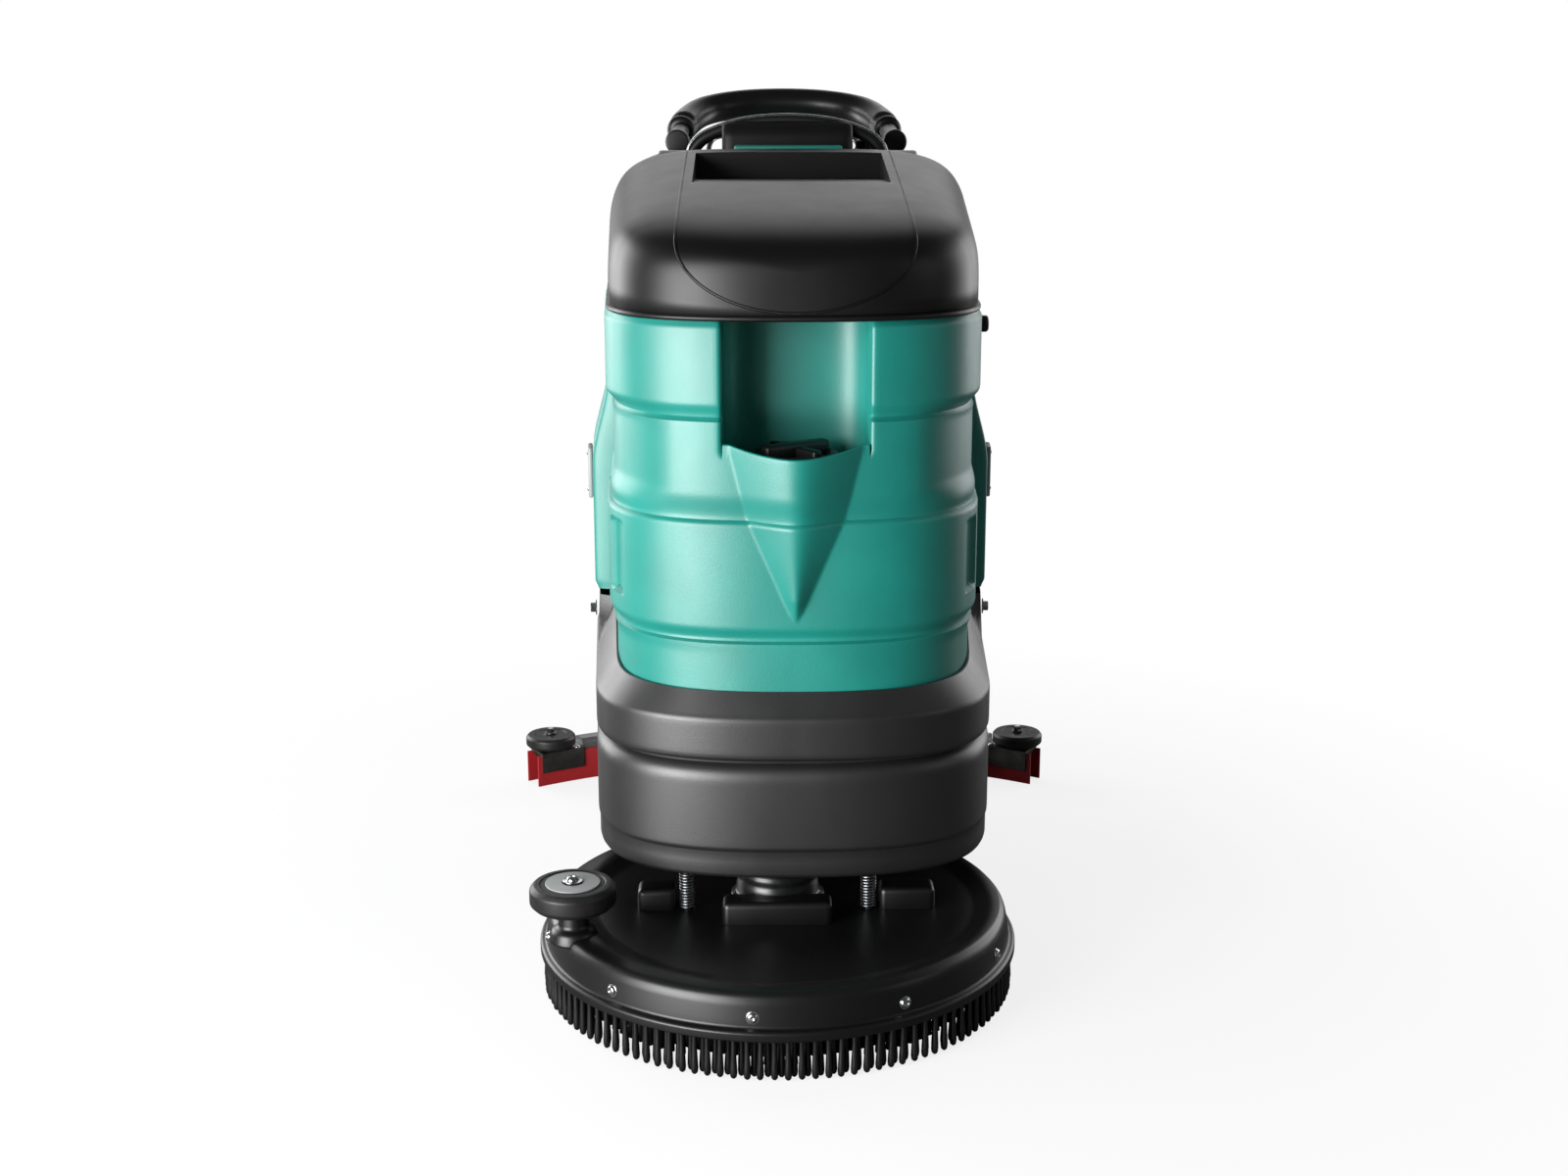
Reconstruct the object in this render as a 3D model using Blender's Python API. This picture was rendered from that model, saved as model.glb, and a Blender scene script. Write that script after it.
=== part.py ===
"""Walk-behind wet and dry floor scrubber with one disc brush.

Metres, +Z up, front (brush end) towards -Y, +X to the left of someone who walks behind it.
The origin is on the floor, under the middle of the machine's box.
"""
import bmesh
import bpy
from math import asin, cos, pi, radians, sin, sqrt
from mathutils import Vector

# Driving dimensions
LENGTH = 1.160
WIDTH = 0.790
HEIGHT = 1.035
GAP = 0.0003                 # clearance between pieces that touch

DECK_RADIUS = 0.280
DECK_X = -0.020
BUMPER_ANGLE = 0.4068         # bumper post ahead of the deck's left side, in radians
BRUSH_RADIUS = DECK_RADIUS - 0.026
PLATEAU_Z = 0.092            # flat top of the deck cover
SHOULDER_Z = 0.098
LIP_Z = 0.0475               # underside of the deck's lip
DECK_WALL = 0.006

NOSE_AHEAD = 0.075           # nose of the body ahead of the deck's centre
BODY_REAR = 0.345
BODY_HALF = 0.232            # half width of the lower shell at its front corners
FLARE = 0.30                 # widening of the body towards the rear, per metre
NOSE = 0.170                 # depth of the rounded front of the plan
SHELL_BOTTOM = 0.149
SHELL_FRONT_TOP = 0.354
SHELL_SIDE_TOP = 0.410
SHELL_WALL = 0.014
LEDGE = 0.020                # shelf of the shell's rim around the tank

TANK_TOP = 0.775
TANK_BOTTOM = 0.345
TANK_SPLIT = -0.050          # where the front tank ends and the rear tank starts
TOWER_FRONT = 0.118          # rear tank's raised part behind the lid
TOWER_TOP = 0.935            # seat of the console
CONSOLE_FRONT = 0.126
TANK_WALL = 0.016
ALCOVE_HALF = 0.081
ALCOVE_DEPTH = 0.105
ALCOVE_FLOOR = 0.605
CAP_RADIUS = 0.056

LID_EDGE = 0.781
LID_TOP = 0.954
LID_WALL = 0.005
LID_HALF = BODY_HALF - 0.0235
CROWN_SLOPE = 0.164          # fall of the lid's top towards its nose
TRAY_HALF = 0.118
TRAY_FLOOR = 0.918
TRAY_FRONT = -0.090
TRAY_WALL = 0.0055

PEDAL_X = BODY_HALF - 0.051
CHASSIS_Z = 0.160
CHASSIS_THICK = 0.010
CHASSIS_HALF = BODY_HALF - 0.054
WHEEL_RADIUS = 0.100
WHEEL_WIDTH = 0.042
WHEEL_Y = 0.080
WHEEL_X = BODY_HALF - 0.024
CASTOR_X = BODY_HALF - 0.072
CASTOR_Y = 0.270
CASTOR_RADIUS = 0.0375
CASTOR_TRAIL = 0.025
CASTOR_PLATE = 0.005

SPRING_HALF_SPAN = BODY_HALF - 0.126
SPRING_BACK = -0.021         # springs ahead of the deck's centre
SPRING_RADIUS = 0.0095
SPRING_WIRE = 0.0014
SPRING_TURNS = 5

SQUEEGEE_RADIUS = 0.698
SQUEEGEE_REAR = 0.500        # middle of the squeegee's curve
SQUEEGEE_THICK = 0.030
BLADE_HALF = WIDTH / 2 - 0.001
BLADE_THICK = 0.003
BLADE_TOP = 0.049
ROLLER_RADIUS = 0.0375
ROLLER_THICK = 0.020
ARM_PIVOT_Y = 0.300
ARM_PIVOT_Z = 0.120

GRIP_RADIUS = 0.021
TUBE_RADIUS = 0.0125
HANDLE_HALF = 0.148
HANDLE_START = 0.300
CONSOLE_HALF = HANDLE_HALF + 0.020

FRONT = -LENGTH / 2
DECK_Y = FRONT + DECK_RADIUS
NOSE_Y = DECK_Y - NOSE_AHEAD

TEAL = (0.012, 0.33, 0.25)
BLACK = (0.02, 0.02, 0.022)
DARK = (0.04, 0.04, 0.043)
RED = (0.42, 0.03, 0.03)
STEEL = (0.55, 0.56, 0.58)


def start():
    """Empty the scene."""
    for old in list(bpy.data.objects):
        bpy.data.objects.remove(old)


def material(name, colour, roughness, metallic):
    """A Principled material."""
    made = bpy.data.materials.new(name)
    made.use_nodes = True
    shader = made.node_tree.nodes["Principled BSDF"]
    shader.inputs["Base Color"].default_value = (*colour, 1)
    shader.inputs["Roughness"].default_value = roughness
    shader.inputs["Metallic"].default_value = metallic
    return made


def node(name, bm, colour, roughness=0.5, metallic=0.0, at=(0, 0, 0), turn=(0, 0, 0)):
    """Make one named object from a bmesh, shaded smooth with sharp edges kept."""
    bmesh.ops.remove_doubles(bm, verts=bm.verts, dist=1e-6)
    bmesh.ops.recalc_face_normals(bm, faces=bm.faces)
    bmesh.ops.triangulate(bm, faces=bm.faces)
    mesh = bpy.data.meshes.new(name)
    bm.to_mesh(mesh)
    bm.free()
    mesh.shade_smooth()
    mesh.set_sharp_from_angle(angle=radians(35))
    mesh.materials.append(material(name, colour, roughness, metallic))
    made = bpy.data.objects.new(name, mesh)
    made.location = at
    made.rotation_euler = turn
    bpy.context.scene.collection.objects.link(made)
    return made


def boolean(target, bm, operation, at=(0, 0, 0), turn=(0, 0, 0)):
    """Cut or join a hidden shape on a finished object."""
    name = f"{target.name}_{operation.lower()}_{len(target.modifiers)}"
    tool = node(name, bm, DARK, at=at, turn=turn)
    tool.hide_render = True
    tool.display_type = "WIRE"
    step = target.modifiers.new(name, "BOOLEAN")
    step.operation = operation
    step.solver = "EXACT"
    step.object = tool


def loft(rings, closed=False):
    """Skin rings of equal point counts; the ends are capped, or joined when closed."""
    bm = bmesh.new()
    loops = [[bm.verts.new(point) for point in ring] for ring in rings]
    pairs = list(zip(loops, loops[1:]))
    if closed:
        pairs.append((loops[-1], loops[0]))
    for low, high in pairs:
        for i in range(len(low)):
            j = (i + 1) % len(low)
            bm.faces.new((low[i], low[j], high[j], high[i]))
    if not closed:
        bm.faces.new(loops[0])
        bm.faces.new(loops[-1])
    return bm


def lathe(profile, steps=32, closed=False):
    """Turn (radius, z) points about Z; a radius of 0 is a pole, closed makes a ring."""
    bm = bmesh.new()
    rings = []
    for radius, z in profile:
        if radius == 0:
            rings.append([bm.verts.new((0, 0, z))] * steps)
            continue
        angles = [2 * pi * i / steps for i in range(steps)]
        rings.append([bm.verts.new((radius * cos(a), radius * sin(a), z)) for a in angles])
    pairs = list(zip(rings, rings[1:]))
    if closed:
        pairs.append((rings[-1], rings[0]))
    for low, high in pairs:
        for i in range(steps):
            j = (i + 1) % steps
            corners = []
            for vert in (low[i], low[j], high[j], high[i]):
                if vert not in corners:
                    corners.append(vert)
            bm.faces.new(corners)
    return bm


def disc(radius, z0, z1, steps=24, chamfer=0.0):
    """A solid round with an optional chamfer at both rims."""
    if chamfer == 0:
        return lathe([(0, z0), (radius, z0), (radius, z1), (0, z1)], steps)
    inner = radius - chamfer
    return lathe([(0, z0), (inner, z0), (radius, z0 + chamfer), (radius, z1 - chamfer),
                  (inner, z1), (0, z1)], steps)


def ring(inner, outer, z0, z1, steps=24, chamfer=0.0):
    """A ring with an optional chamfer on its outer rims."""
    if chamfer == 0:
        return lathe([(inner, z0), (outer, z0), (outer, z1), (inner, z1)], steps, True)
    return lathe([(inner, z0), (outer - chamfer, z0), (outer, z0 + chamfer),
                  (outer, z1 - chamfer), (outer - chamfer, z1), (inner, z1)], steps, True)


def box(x0, x1, y0, y1, z0, z1, bevel=0.0):
    """A block between two corners, with its edges optionally chamfered."""
    rings = [[(x0, y0, z), (x1, y0, z), (x1, y1, z), (x0, y1, z)] for z in (z0, z1)]
    bm = loft(rings)
    if bevel:
        bmesh.ops.bevel(bm, geom=list(bm.edges), offset=bevel, segments=1,
                        affect="EDGES", profile=0.5)
    return bm


def slab_x(profile, x0, x1):
    """Extrude a (y, z) outline along X."""
    return loft([[(x, y, z) for y, z in profile] for x in (x0, x1)])


def plan(half, front, rear, nose, corner, exponent=2.6):
    """Body outline seen from above: rounded nose, flared sides, rounded rear corners."""
    start_y = front + nose
    points = []
    steps = 16
    for i in range(steps + 1):
        angle = pi * i / steps - pi / 2
        s, c = sin(angle), max(cos(angle), 0.0)
        x = half * abs(s) ** (2 / exponent) * (1 if s > 0 else -1)
        points.append((x, start_y - nose * c ** (2 / exponent)))
    side = [(rear - corner) * t / 4 + start_y * (4 - t) / 4 for t in (1, 2, 3)]
    arc = [pi / 2 * k / 3 for k in range(4)]
    points += [(half, y) for y in side]
    points += [(half - corner + corner * cos(a), rear - corner + corner * sin(a)) for a in arc]
    points += [(corner - half - corner * sin(a), rear - corner + corner * cos(a)) for a in arc]
    points += [(-half, y) for y in reversed(side)]
    return [(x * flare(y), y) for x, y in points]


def flare(y):
    """Widening of the body from its front corners to the rear."""
    return 1 + FLARE * min(max(y - NOSE_Y - 0.105, 0.0), 0.37)


def smooth_step(t):
    t = min(max(t, 0.0), 1.0)
    return t * t * (3 - 2 * t)


def shell_top(y):
    """Height of the shell's rim: low at the nose, higher along the sides."""
    rise = smooth_step((y - NOSE_Y - 0.09) / 0.26)
    return SHELL_FRONT_TOP + (SHELL_SIDE_TOP - SHELL_FRONT_TOP) * rise


def frames(path):
    """Upright and sideways vectors along a path that never runs straight up."""
    points = [Vector(p) for p in path]
    made = []
    for i, point in enumerate(points):
        ahead = points[min(i + 1, len(points) - 1)] - points[max(i - 1, 0)]
        ahead.normalize()
        side = (Vector((0, 0, 1)) - ahead * ahead.z).normalized()
        made.append((point, side, ahead.cross(side)))
    return made


def sweep(path, radii, sides=8, bore=0.0, span=None):
    """A round bar of varying radius along a path, or a sleeve when it has a bore."""
    places = frames(path)
    first, last = span or (0, len(places))

    def around(place, radius):
        point, side, up = place
        angles = [2 * pi * k / sides for k in range(sides)]
        return [point + side * radius * cos(a) + up * radius * sin(a) for a in angles]

    places = places[first:last]
    outer = [around(place, radius) for place, radius in zip(places, radii)]
    if bore == 0:
        return loft(outer)
    inner = [around(place, bore) for place in reversed(places)]
    return loft(outer + inner, closed=True)


def spline(points, count):
    """Catmull-Rom points along a chosen route."""
    route = [Vector(p) for p in points]
    ends = [2 * route[0] - route[1]] + route + [2 * route[-1] - route[-2]]
    made = []
    for i in range(count):
        t = i * (len(route) - 1) / (count - 1)
        k = min(int(t), len(route) - 2)
        f = t - k
        a, b, c, d = ends[k:k + 4]
        made.append(0.5 * ((2 * b) + (c - a) * f + (2 * a - 5 * b + 4 * c - d) * f * f
                           + (3 * b - a - 3 * c + d) * f ** 3))
    return made


def arc_bar(section, low, high, steps):
    """Carry a (radius, z) section round the squeegee's centre, angles from +Y."""
    centre = SQUEEGEE_REAR - SQUEEGEE_RADIUS
    rings = []
    for i in range(steps + 1):
        angle = low + (high - low) * i / steps
        rings.append([(r * sin(angle), centre + r * cos(angle), z) for r, z in section])
    return loft(rings)


def lower_shell():
    """Moulded lower body: a wall with a groove, a lower band and a thick rim."""
    levels = [(0.0, 0.012), (0.05, 0.004), (0.12, 0.002), (0.60, 0.0), (0.66, 0.007),
              (0.70, 0.007), (0.74, 0.0), (0.95, 0.0), (1.0, 0.006)]
    rings = []
    for share, inset in levels:
        outline = plan(BODY_HALF - inset, NOSE_Y + inset, BODY_REAR - inset, NOSE, 0.05)
        rings.append([(x, y, SHELL_BOTTOM + share * (shell_top(y) - SHELL_BOTTOM))
                      for x, y in outline])
    inner = plan(BODY_HALF - SHELL_WALL, NOSE_Y + SHELL_WALL, BODY_REAR - SHELL_WALL, NOSE, 0.04)
    rings.append([(x, y, shell_top(y)) for x, y in inner])
    rings.append([(x, y, SHELL_BOTTOM) for x, y in inner])
    made = node("lower_shell", loft(rings, closed=True), DARK, 0.55)
    arch = disc(WHEEL_RADIUS + 0.014, -0.35, 0.35, 30)
    boolean(made, arch, "DIFFERENCE", at=(0, WHEEL_Y, WHEEL_RADIUS), turn=(0, pi / 2, 0))


def tank_half(z):
    """Half width of the front tank, which tapers down a little."""
    return BODY_HALF - 0.028 + 0.010 * min(max((z - 0.37) / 0.28, 0.0), 1.0)


def front_tank():
    """Solution tank with band grooves, an alcove for the filler and a spout-shaped pouch."""
    front = NOSE_Y + LEDGE
    rear = TANK_SPLIT - GAP
    levels = [(TANK_BOTTOM, 0.004), (0.415, 0.0), (0.424, 0.004), (0.433, 0.0), (0.560, 0.0),
              (0.575, 0.006), (0.592, 0.0), (0.672, 0.0), (0.681, 0.006), (0.692, 0.0),
              (TANK_TOP, 0.0)]
    rings = []
    for z, inset in levels:
        outline = plan(tank_half(z) - inset, front + inset, rear, NOSE, 0.01)
        rings.append([(x, y, z) for x, y in outline])
    made = node("front_tank", loft(rings), TEAL, 0.4)
    pouch = []
    top, tip = 0.632, 0.447
    for k in range(7):
        z = top + (tip - top) * k / 6
        share = (1 - k / 6) ** 0.75
        half = 0.006 + 0.076 * share
        out = 0.003 + 0.030 * share
        across = [-1, -0.7, -0.35, 0, 0.35, 0.7, 1]
        line = [(half * a, front - out * (1 - abs(a) ** 1.7) + 0.012 * a * a, z) for a in across]
        pouch.append(line + [(half, front + 0.06, z), (-half, front + 0.06, z)])
    boolean(made, loft(pouch), "UNION")
    low = [(-ALCOVE_HALF + 0.006, front + 0.002), (ALCOVE_HALF - 0.006, front + 0.002),
           (ALCOVE_HALF - 0.020, front + ALCOVE_DEPTH), (0.020 - ALCOVE_HALF, front + ALCOVE_DEPTH)]
    high = [(-ALCOVE_HALF, front - 0.05), (ALCOVE_HALF, front - 0.05),
            (ALCOVE_HALF - 0.014, front + ALCOVE_DEPTH), (0.014 - ALCOVE_HALF, front + ALCOVE_DEPTH)]
    rings = [[(x, y, ALCOVE_FLOOR) for x, y in low], [(x, y, 0.650) for x, y in high],
             [(x, y, TANK_TOP + 0.02) for x, y in high]]
    boolean(made, loft(rings), "DIFFERENCE")
    well = disc(0.040, 0.480, ALCOVE_FLOOR + 0.01, 24)
    boolean(made, well, "DIFFERENCE", at=(0, cap_y(), 0))


def cap_y():
    """The filler stands in the middle of the alcove's depth."""
    return NOSE_Y + LEDGE + 0.052


def filler():
    """Screw cap with a cross rib over a hanging strainer basket."""
    base = ALCOVE_FLOOR + GAP
    rim = base + 0.0022
    basket = lathe([(0, 0.503), (0.035, 0.503), (0.036, rim), (0.046, rim), (0.046, base),
                    (0.039, base), (0.0385, 0.5), (0, 0.5)], 20)
    node("filler_strainer", basket, STEEL, 0.4, 0.0, at=(0, cap_y(), 0))
    z = rim + GAP
    cap = node("filler_cap", disc(CAP_RADIUS - 0.004, z, z + 0.024, 28, 0.003), BLACK, 0.45,
               at=(0, cap_y(), 0))
    rib = box(-0.046, 0.046, -0.009, 0.009, 0.0, 0.014, 0.003)
    boolean(cap, rib, "UNION", at=(0, cap_y(), z + 0.020), turn=(0, 0, radians(35)))


def rear_tank():
    """Recovery tank: side bulges, open basin under the lid and a raised rear tower."""
    front = TANK_SPLIT + GAP
    rim = SHELL_SIDE_TOP + GAP
    neck = BODY_HALF - SHELL_WALL - 0.006
    levels = [(TANK_BOTTOM, neck, 0.004), (rim, neck, 0.0), (rim + 0.0001, BODY_HALF - 0.004, 0.0),
              (rim + 0.012, BODY_HALF, 0.0), (0.590, BODY_HALF, 0.0), (0.660, tank_half(0.66), 0.0),
              (TANK_TOP, tank_half(TANK_TOP), 0.0)]
    rings = []
    for z, half, inset in levels:
        rear = BODY_REAR - (BODY_HALF - half) - inset
        rings.append([(x, y, z) for x, y in plan(half, front, rear, 0.012, 0.045)])
    made = node("rear_tank", loft(rings), TEAL, 0.4)
    tower = []
    for y in (TOWER_FRONT + GAP, 0.200, 0.290, BODY_REAR - 0.034, BODY_REAR - 0.022):
        tuck = 0.010 if y > BODY_REAR - 0.025 else 0.0
        arch = lid_section(y, tuck, tuck)
        foot = arch[0][0]
        tower.append([(foot, y, TANK_TOP - 0.02)] + arch + [(-foot, y, TANK_TOP - 0.02)])
    boolean(made, loft(tower), "UNION")
    seat = box(-CONSOLE_HALF - GAP, CONSOLE_HALF + GAP, CONSOLE_FRONT - GAP, 0.40, TOWER_TOP, 1.0)
    boolean(made, seat, "DIFFERENCE")
    basin = [[(x, y, z) for x, y in
              plan(tank_half(z) - TANK_WALL, front + TANK_WALL, TOWER_FRONT - TANK_WALL, 0.02, 0.02)]
             for z in (0.430, TANK_TOP + 0.02)]
    boolean(made, loft(basin), "DIFFERENCE")
    pocket = disc(0.075, 0.640, TOWER_TOP + 0.02, 28)
    boolean(made, pocket, "DIFFERENCE", at=(0, 0.222, 0))


def vacuum_unit():
    """Suction motor in the tower and the float housing in the basin."""
    z = 0.640 + GAP
    node("vacuum_motor", lathe([(0, z), (0.068, z), (0.068, z + 0.06), (0.052, z + 0.075),
                                (0.052, z + 0.16), (0.030, z + 0.18), (0, z + 0.18)], 24),
         STEEL, 0.4, 0.6, at=(0, 0.222, 0))
    radius = 0.030
    y = TOWER_FRONT - TANK_WALL - radius - GAP
    node("float_housing", disc(radius, 0.600, 0.745, 20, 0.004), BLACK, 0.5, at=(0.10, y, 0))


def lid_half(y):
    """Half width of the lid, rounded at its nose and flared to the rear."""
    front = NOSE_Y + 0.012
    t = min(max((y - front) / NOSE, 0.0), 1.0)
    return LID_HALF * (1 - (1 - t) ** 2.6) ** (1 / 2.6) * flare(y)


def lid_crown(y):
    """Height of the lid's middle line over the floor."""
    back = TOWER_FRONT - GAP
    t = min(max((back - y) / (back - NOSE_Y - 0.011), 0.0), 1.0)
    foot = LID_EDGE + 0.016
    top = LID_TOP - CROWN_SLOPE * max(back - y, 0.0)
    return foot + (top - foot) * (1 - t ** 6) ** (1 / 6)


def lid_section(y, inset, drop):
    """Half superellipse from one lower edge over the crown to the other."""
    half = max(lid_half(y) - inset, 0.004)
    height = lid_crown(y) - LID_EDGE - drop
    made = []
    for k in range(13):
        angle = pi * k / 12
        c, s = cos(angle), sin(angle)
        x = -half * abs(c) ** 0.5 * (1 if c > 0 else -1)
        made.append((x, y, LID_EDGE + height * max(s, 0.0) ** 0.5))
    return made


def lid():
    """Domed lid shell with a tray pocket let into its top."""
    back = TOWER_FRONT - GAP
    front = NOSE_Y + 0.012
    shares = (0.004, 0.03, 0.10, 0.22, 0.38, 0.60, 0.80, 1.0)
    stations = [front + (back - front) * s for s in shares]
    rings = []
    for y in stations:
        rings.append(lid_section(y, 0, 0))
    inside = []
    for y in stations:
        moved = y + LID_WALL if y < 0 else y
        inside.append([(x, min(max(y, stations[0] + LID_WALL), back), z) for x, _, z in
                       lid_section(moved, LID_WALL, LID_WALL)])
    bm = bmesh.new()
    outer = [[bm.verts.new(p) for p in section] for section in rings]
    inner = [[bm.verts.new(p) for p in section] for section in inside]
    for grid, flip in ((outer, False), (inner, True)):
        for a, b in zip(grid, grid[1:]):
            for i in range(len(a) - 1):
                face = (a[i], a[i + 1], b[i + 1], b[i])
                bm.faces.new(face[::-1] if flip else face)
    for a, b, c, d in zip(outer, outer[1:], inner, inner[1:]):
        bm.faces.new((a[0], b[0], d[0], c[0]))
        bm.faces.new((a[-1], c[-1], d[-1], b[-1]))
    for k in range(len(outer[-1]) - 1):
        bm.faces.new((outer[-1][k], inner[-1][k], inner[-1][k + 1], outer[-1][k + 1]))
    bm.faces.new(outer[0])
    bm.faces.new(inner[0])
    bm.faces.new((outer[0][0], outer[0][-1], inner[0][-1], inner[0][0]))
    made = node("lid", bm, BLACK, 0.35, at=(0, 0, 0))
    y1 = TOWER_FRONT - 0.022
    under = TRAY_FLOOR - TRAY_WALL
    tub = [(TRAY_FRONT + 0.002, under), (TRAY_FRONT + 0.002, under + 0.0015),
           (y1 + 0.004, LID_TOP - 0.009), (y1 + 0.004, under)]
    boolean(made, slab_x(tub, -TRAY_HALF - 0.004, TRAY_HALF + 0.004), "UNION")
    boolean(made, box(-TRAY_HALF, TRAY_HALF, TRAY_FRONT, y1, TRAY_FLOOR, LID_TOP + 0.03), "DIFFERENCE")


def console():
    """Control console over the tower: base, operator hump and the arch of the hand openings."""
    back = BODY_REAR - 0.022 + GAP
    base = [(CONSOLE_FRONT, TOWER_TOP + GAP), (CONSOLE_FRONT, 0.946), (0.150, 0.952), (0.330, 0.944),
            (0.362, 0.925), (0.366, 0.800), (back, 0.800), (back, TOWER_TOP + GAP)]
    made = node("console", slab_x(base, -CONSOLE_HALF, CONSOLE_HALF), BLACK, 0.5)
    hump = [(0.165, 0.945), (0.172, 0.982), (0.215, 0.990), (0.345, 0.940), (0.345, 0.935),
            (0.165, 0.942)]
    boolean(made, slab_x(hump, -0.084, 0.084), "UNION")
    arch = spline([(-0.124, 0.195, 0.945), (-0.108, 0.195, 0.966), (-0.06, 0.195, 0.984),
                   (0, 0.195, 0.991), (0.06, 0.195, 0.984), (0.108, 0.195, 0.966),
                   (0.124, 0.195, 0.945)], 17)
    boolean(made, sweep(arch, [0.006] * 17, 8), "UNION")
    for side in (-1, 1):
        x = side * HANDLE_HALF
        boolean(made, box(x - 0.019, x + 0.019, 0.235, HANDLE_START - 5 * GAP, 0.939, 0.982, 0.005),
                "UNION")
    return made


def panel_frame(share, across, lift):
    """World place of a point on the console's sloping operator panel."""
    a, b = Vector((0, 0.215, 0.990)), Vector((0, 0.345, 0.940))
    along = b - a
    normal = Vector((0, -along.z, along.y)).normalized()
    place = a + along * share + normal * lift
    return (across, place.y, place.z)


def controls(made):
    """Display window, switches, key, valve knob and drive bail on the console."""
    tilt = -asin(0.050 / sqrt(0.050 ** 2 + 0.130 ** 2))
    node("display_window", box(-0.03, 0.03, -0.015, 0.015, 0, 0.003, 0.001), (0.02, 0.05, 0.06),
         0.1, at=panel_frame(0.30, 0, GAP), turn=(tilt, 0, 0))
    for name, x in (("brush_switch", -0.045), ("vacuum_switch", 0.0)):
        node(name, box(-0.0075, 0.0075, -0.008, 0.008, -0.004, 0.005, 0.001), BLACK, 0.4,
             at=panel_frame(0.70, x, 0), turn=(tilt, 0, 0))
        pocket = box(-0.0079, 0.0079, -0.0084, 0.0084, -0.0065, 0.02)
        boolean(made, pocket, "DIFFERENCE", at=panel_frame(0.70, x, 0), turn=(tilt, 0, 0))
    node("key_switch", lathe([(0, 0), (0.009, 0), (0.009, 0.004), (0.002, 0.005), (0.002, 0.016),
                              (0, 0.016)], 16), STEEL, 0.3, 0.8,
         at=panel_frame(0.70, 0.045, GAP), turn=(tilt, 0, 0))
    node("solution_knob", disc(0.018, 0, 0.016, 20, 0.002), BLACK, 0.5,
         at=(0.108, 0.25, 0.9481), turn=(-0.0444, 0, 0))


def handle_path():
    """Route of the handle tube from one console socket to the other."""
    half = HANDLE_HALF
    rear = LENGTH / 2 - GRIP_RADIUS
    top = HEIGHT - GRIP_RADIUS
    left = [(-half, HANDLE_START, 0.961), (-half - 0.002, 0.370, 0.966), (-half + 0.004, 0.450, 0.982),
            (-0.118, rear - 0.042, top - 0.013), (-0.066, rear - 0.008, top - 0.003), (0, rear, top)]
    return spline(left + [(-x, y, z) for x, y, z in left[-2::-1]], 41)


def handle():
    """Steel handle tube, soft grip sleeve with stepped collars, and the drive bail."""
    path = handle_path()
    node("handle_tube", sweep(path, [TUBE_RADIUS] * len(path), 8), BLACK, 0.4)
    first, last = 6, 35
    radii = []
    for i in range(first, last):
        near = min(i - first, last - 1 - i)
        radii.append((GRIP_RADIUS, GRIP_RADIUS - 0.004, GRIP_RADIUS - 0.001)[near]
                     if near < 3 else GRIP_RADIUS)
    node("handle_grip", sweep(path, radii, 8, TUBE_RADIUS + GAP, (first, last)), BLACK, 0.8)
    pivot = Vector((0, 0.3646, 0.912))
    route = [(-0.110, 0, 0), (-0.110, 0.066, 0.030), (-0.100, 0.124, 0.052), (-0.05, 0.130, 0.058),
             (0, 0.132, 0.059), (0.05, 0.130, 0.058), (0.100, 0.118, 0.052), (0.110, 0.060, 0.030),
             (0.110, 0, 0)]
    node("drive_bail", sweep(spline(route, 25), [0.004] * 25, 6), STEEL, 0.3, 0.9, at=pivot)


def chassis():
    """Welded steel tray with arms to the deck, castor plates, pedal ears and squeegee lugs."""
    z0, z1 = CHASSIS_Z, CHASSIS_Z + CHASSIS_THICK
    rear = BODY_REAR - SHELL_WALL - 2 * GAP
    made = node("chassis", box(-CHASSIS_HALF, CHASSIS_HALF, -0.130, rear, z0, z1), STEEL, 0.5, 0.7)
    rear_half = CHASSIS_HALF + 0.027
    boolean(made, box(-rear_half, rear_half, 0.205, 0.327, z0 + 0.001, z1 - 0.001), "UNION")
    for x in (DECK_X - SPRING_HALF_SPAN, DECK_X + SPRING_HALF_SPAN):
        front = DECK_Y + SPRING_BACK - 0.013
        boolean(made, box(x - 0.013, x + 0.013, front, -0.120, z0 + 0.0005, z1 - 0.002), "UNION")
        boolean(made, disc(0.0052, z0 - 0.02, z1 + 0.02, 12), "DIFFERENCE",
                at=(x, DECK_Y + SPRING_BACK, 0))
    for x in (-0.030, 0.022):
        ear = [(0.270, z0 + 0.004), (0.270, 0.135), (0.290, 0.108), (0.310, 0.108),
               (0.318, 0.135), (0.318, z0 + 0.004)]
        boolean(made, slab_x(ear, x, x + 0.008), "UNION")
    for x in (PEDAL_X - 0.023, PEDAL_X + 0.017):
        ear = [(0.300, z0 + 0.004), (0.322, 0.130), (0.345, 0.112), (0.362, 0.112),
               (0.368, 0.130), (0.362, 0.146), (0.326, 0.146), (0.322, z0 + 0.004)]
        boolean(made, slab_x(ear, x, x + 0.006), "UNION")
    boolean(made, disc(0.0042, -0.021, 0.021, 12), "UNION", at=(PEDAL_X, 0.354, 0.129),
            turn=(0, pi / 2, 0))
    for x in (-CASTOR_X, CASTOR_X):
        boolean(made, box(x - 0.034, x + 0.034, CASTOR_Y - 0.034, CASTOR_Y + 0.034,
                          z0 - CASTOR_PLATE, z0 + 0.003), "UNION")
    for x in (-0.07, 0.07):
        boolean(made, box(x - 0.008, x + 0.008, WHEEL_Y - 0.03, WHEEL_Y + 0.03, 0.150, z0 + 0.004),
                "UNION")


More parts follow.
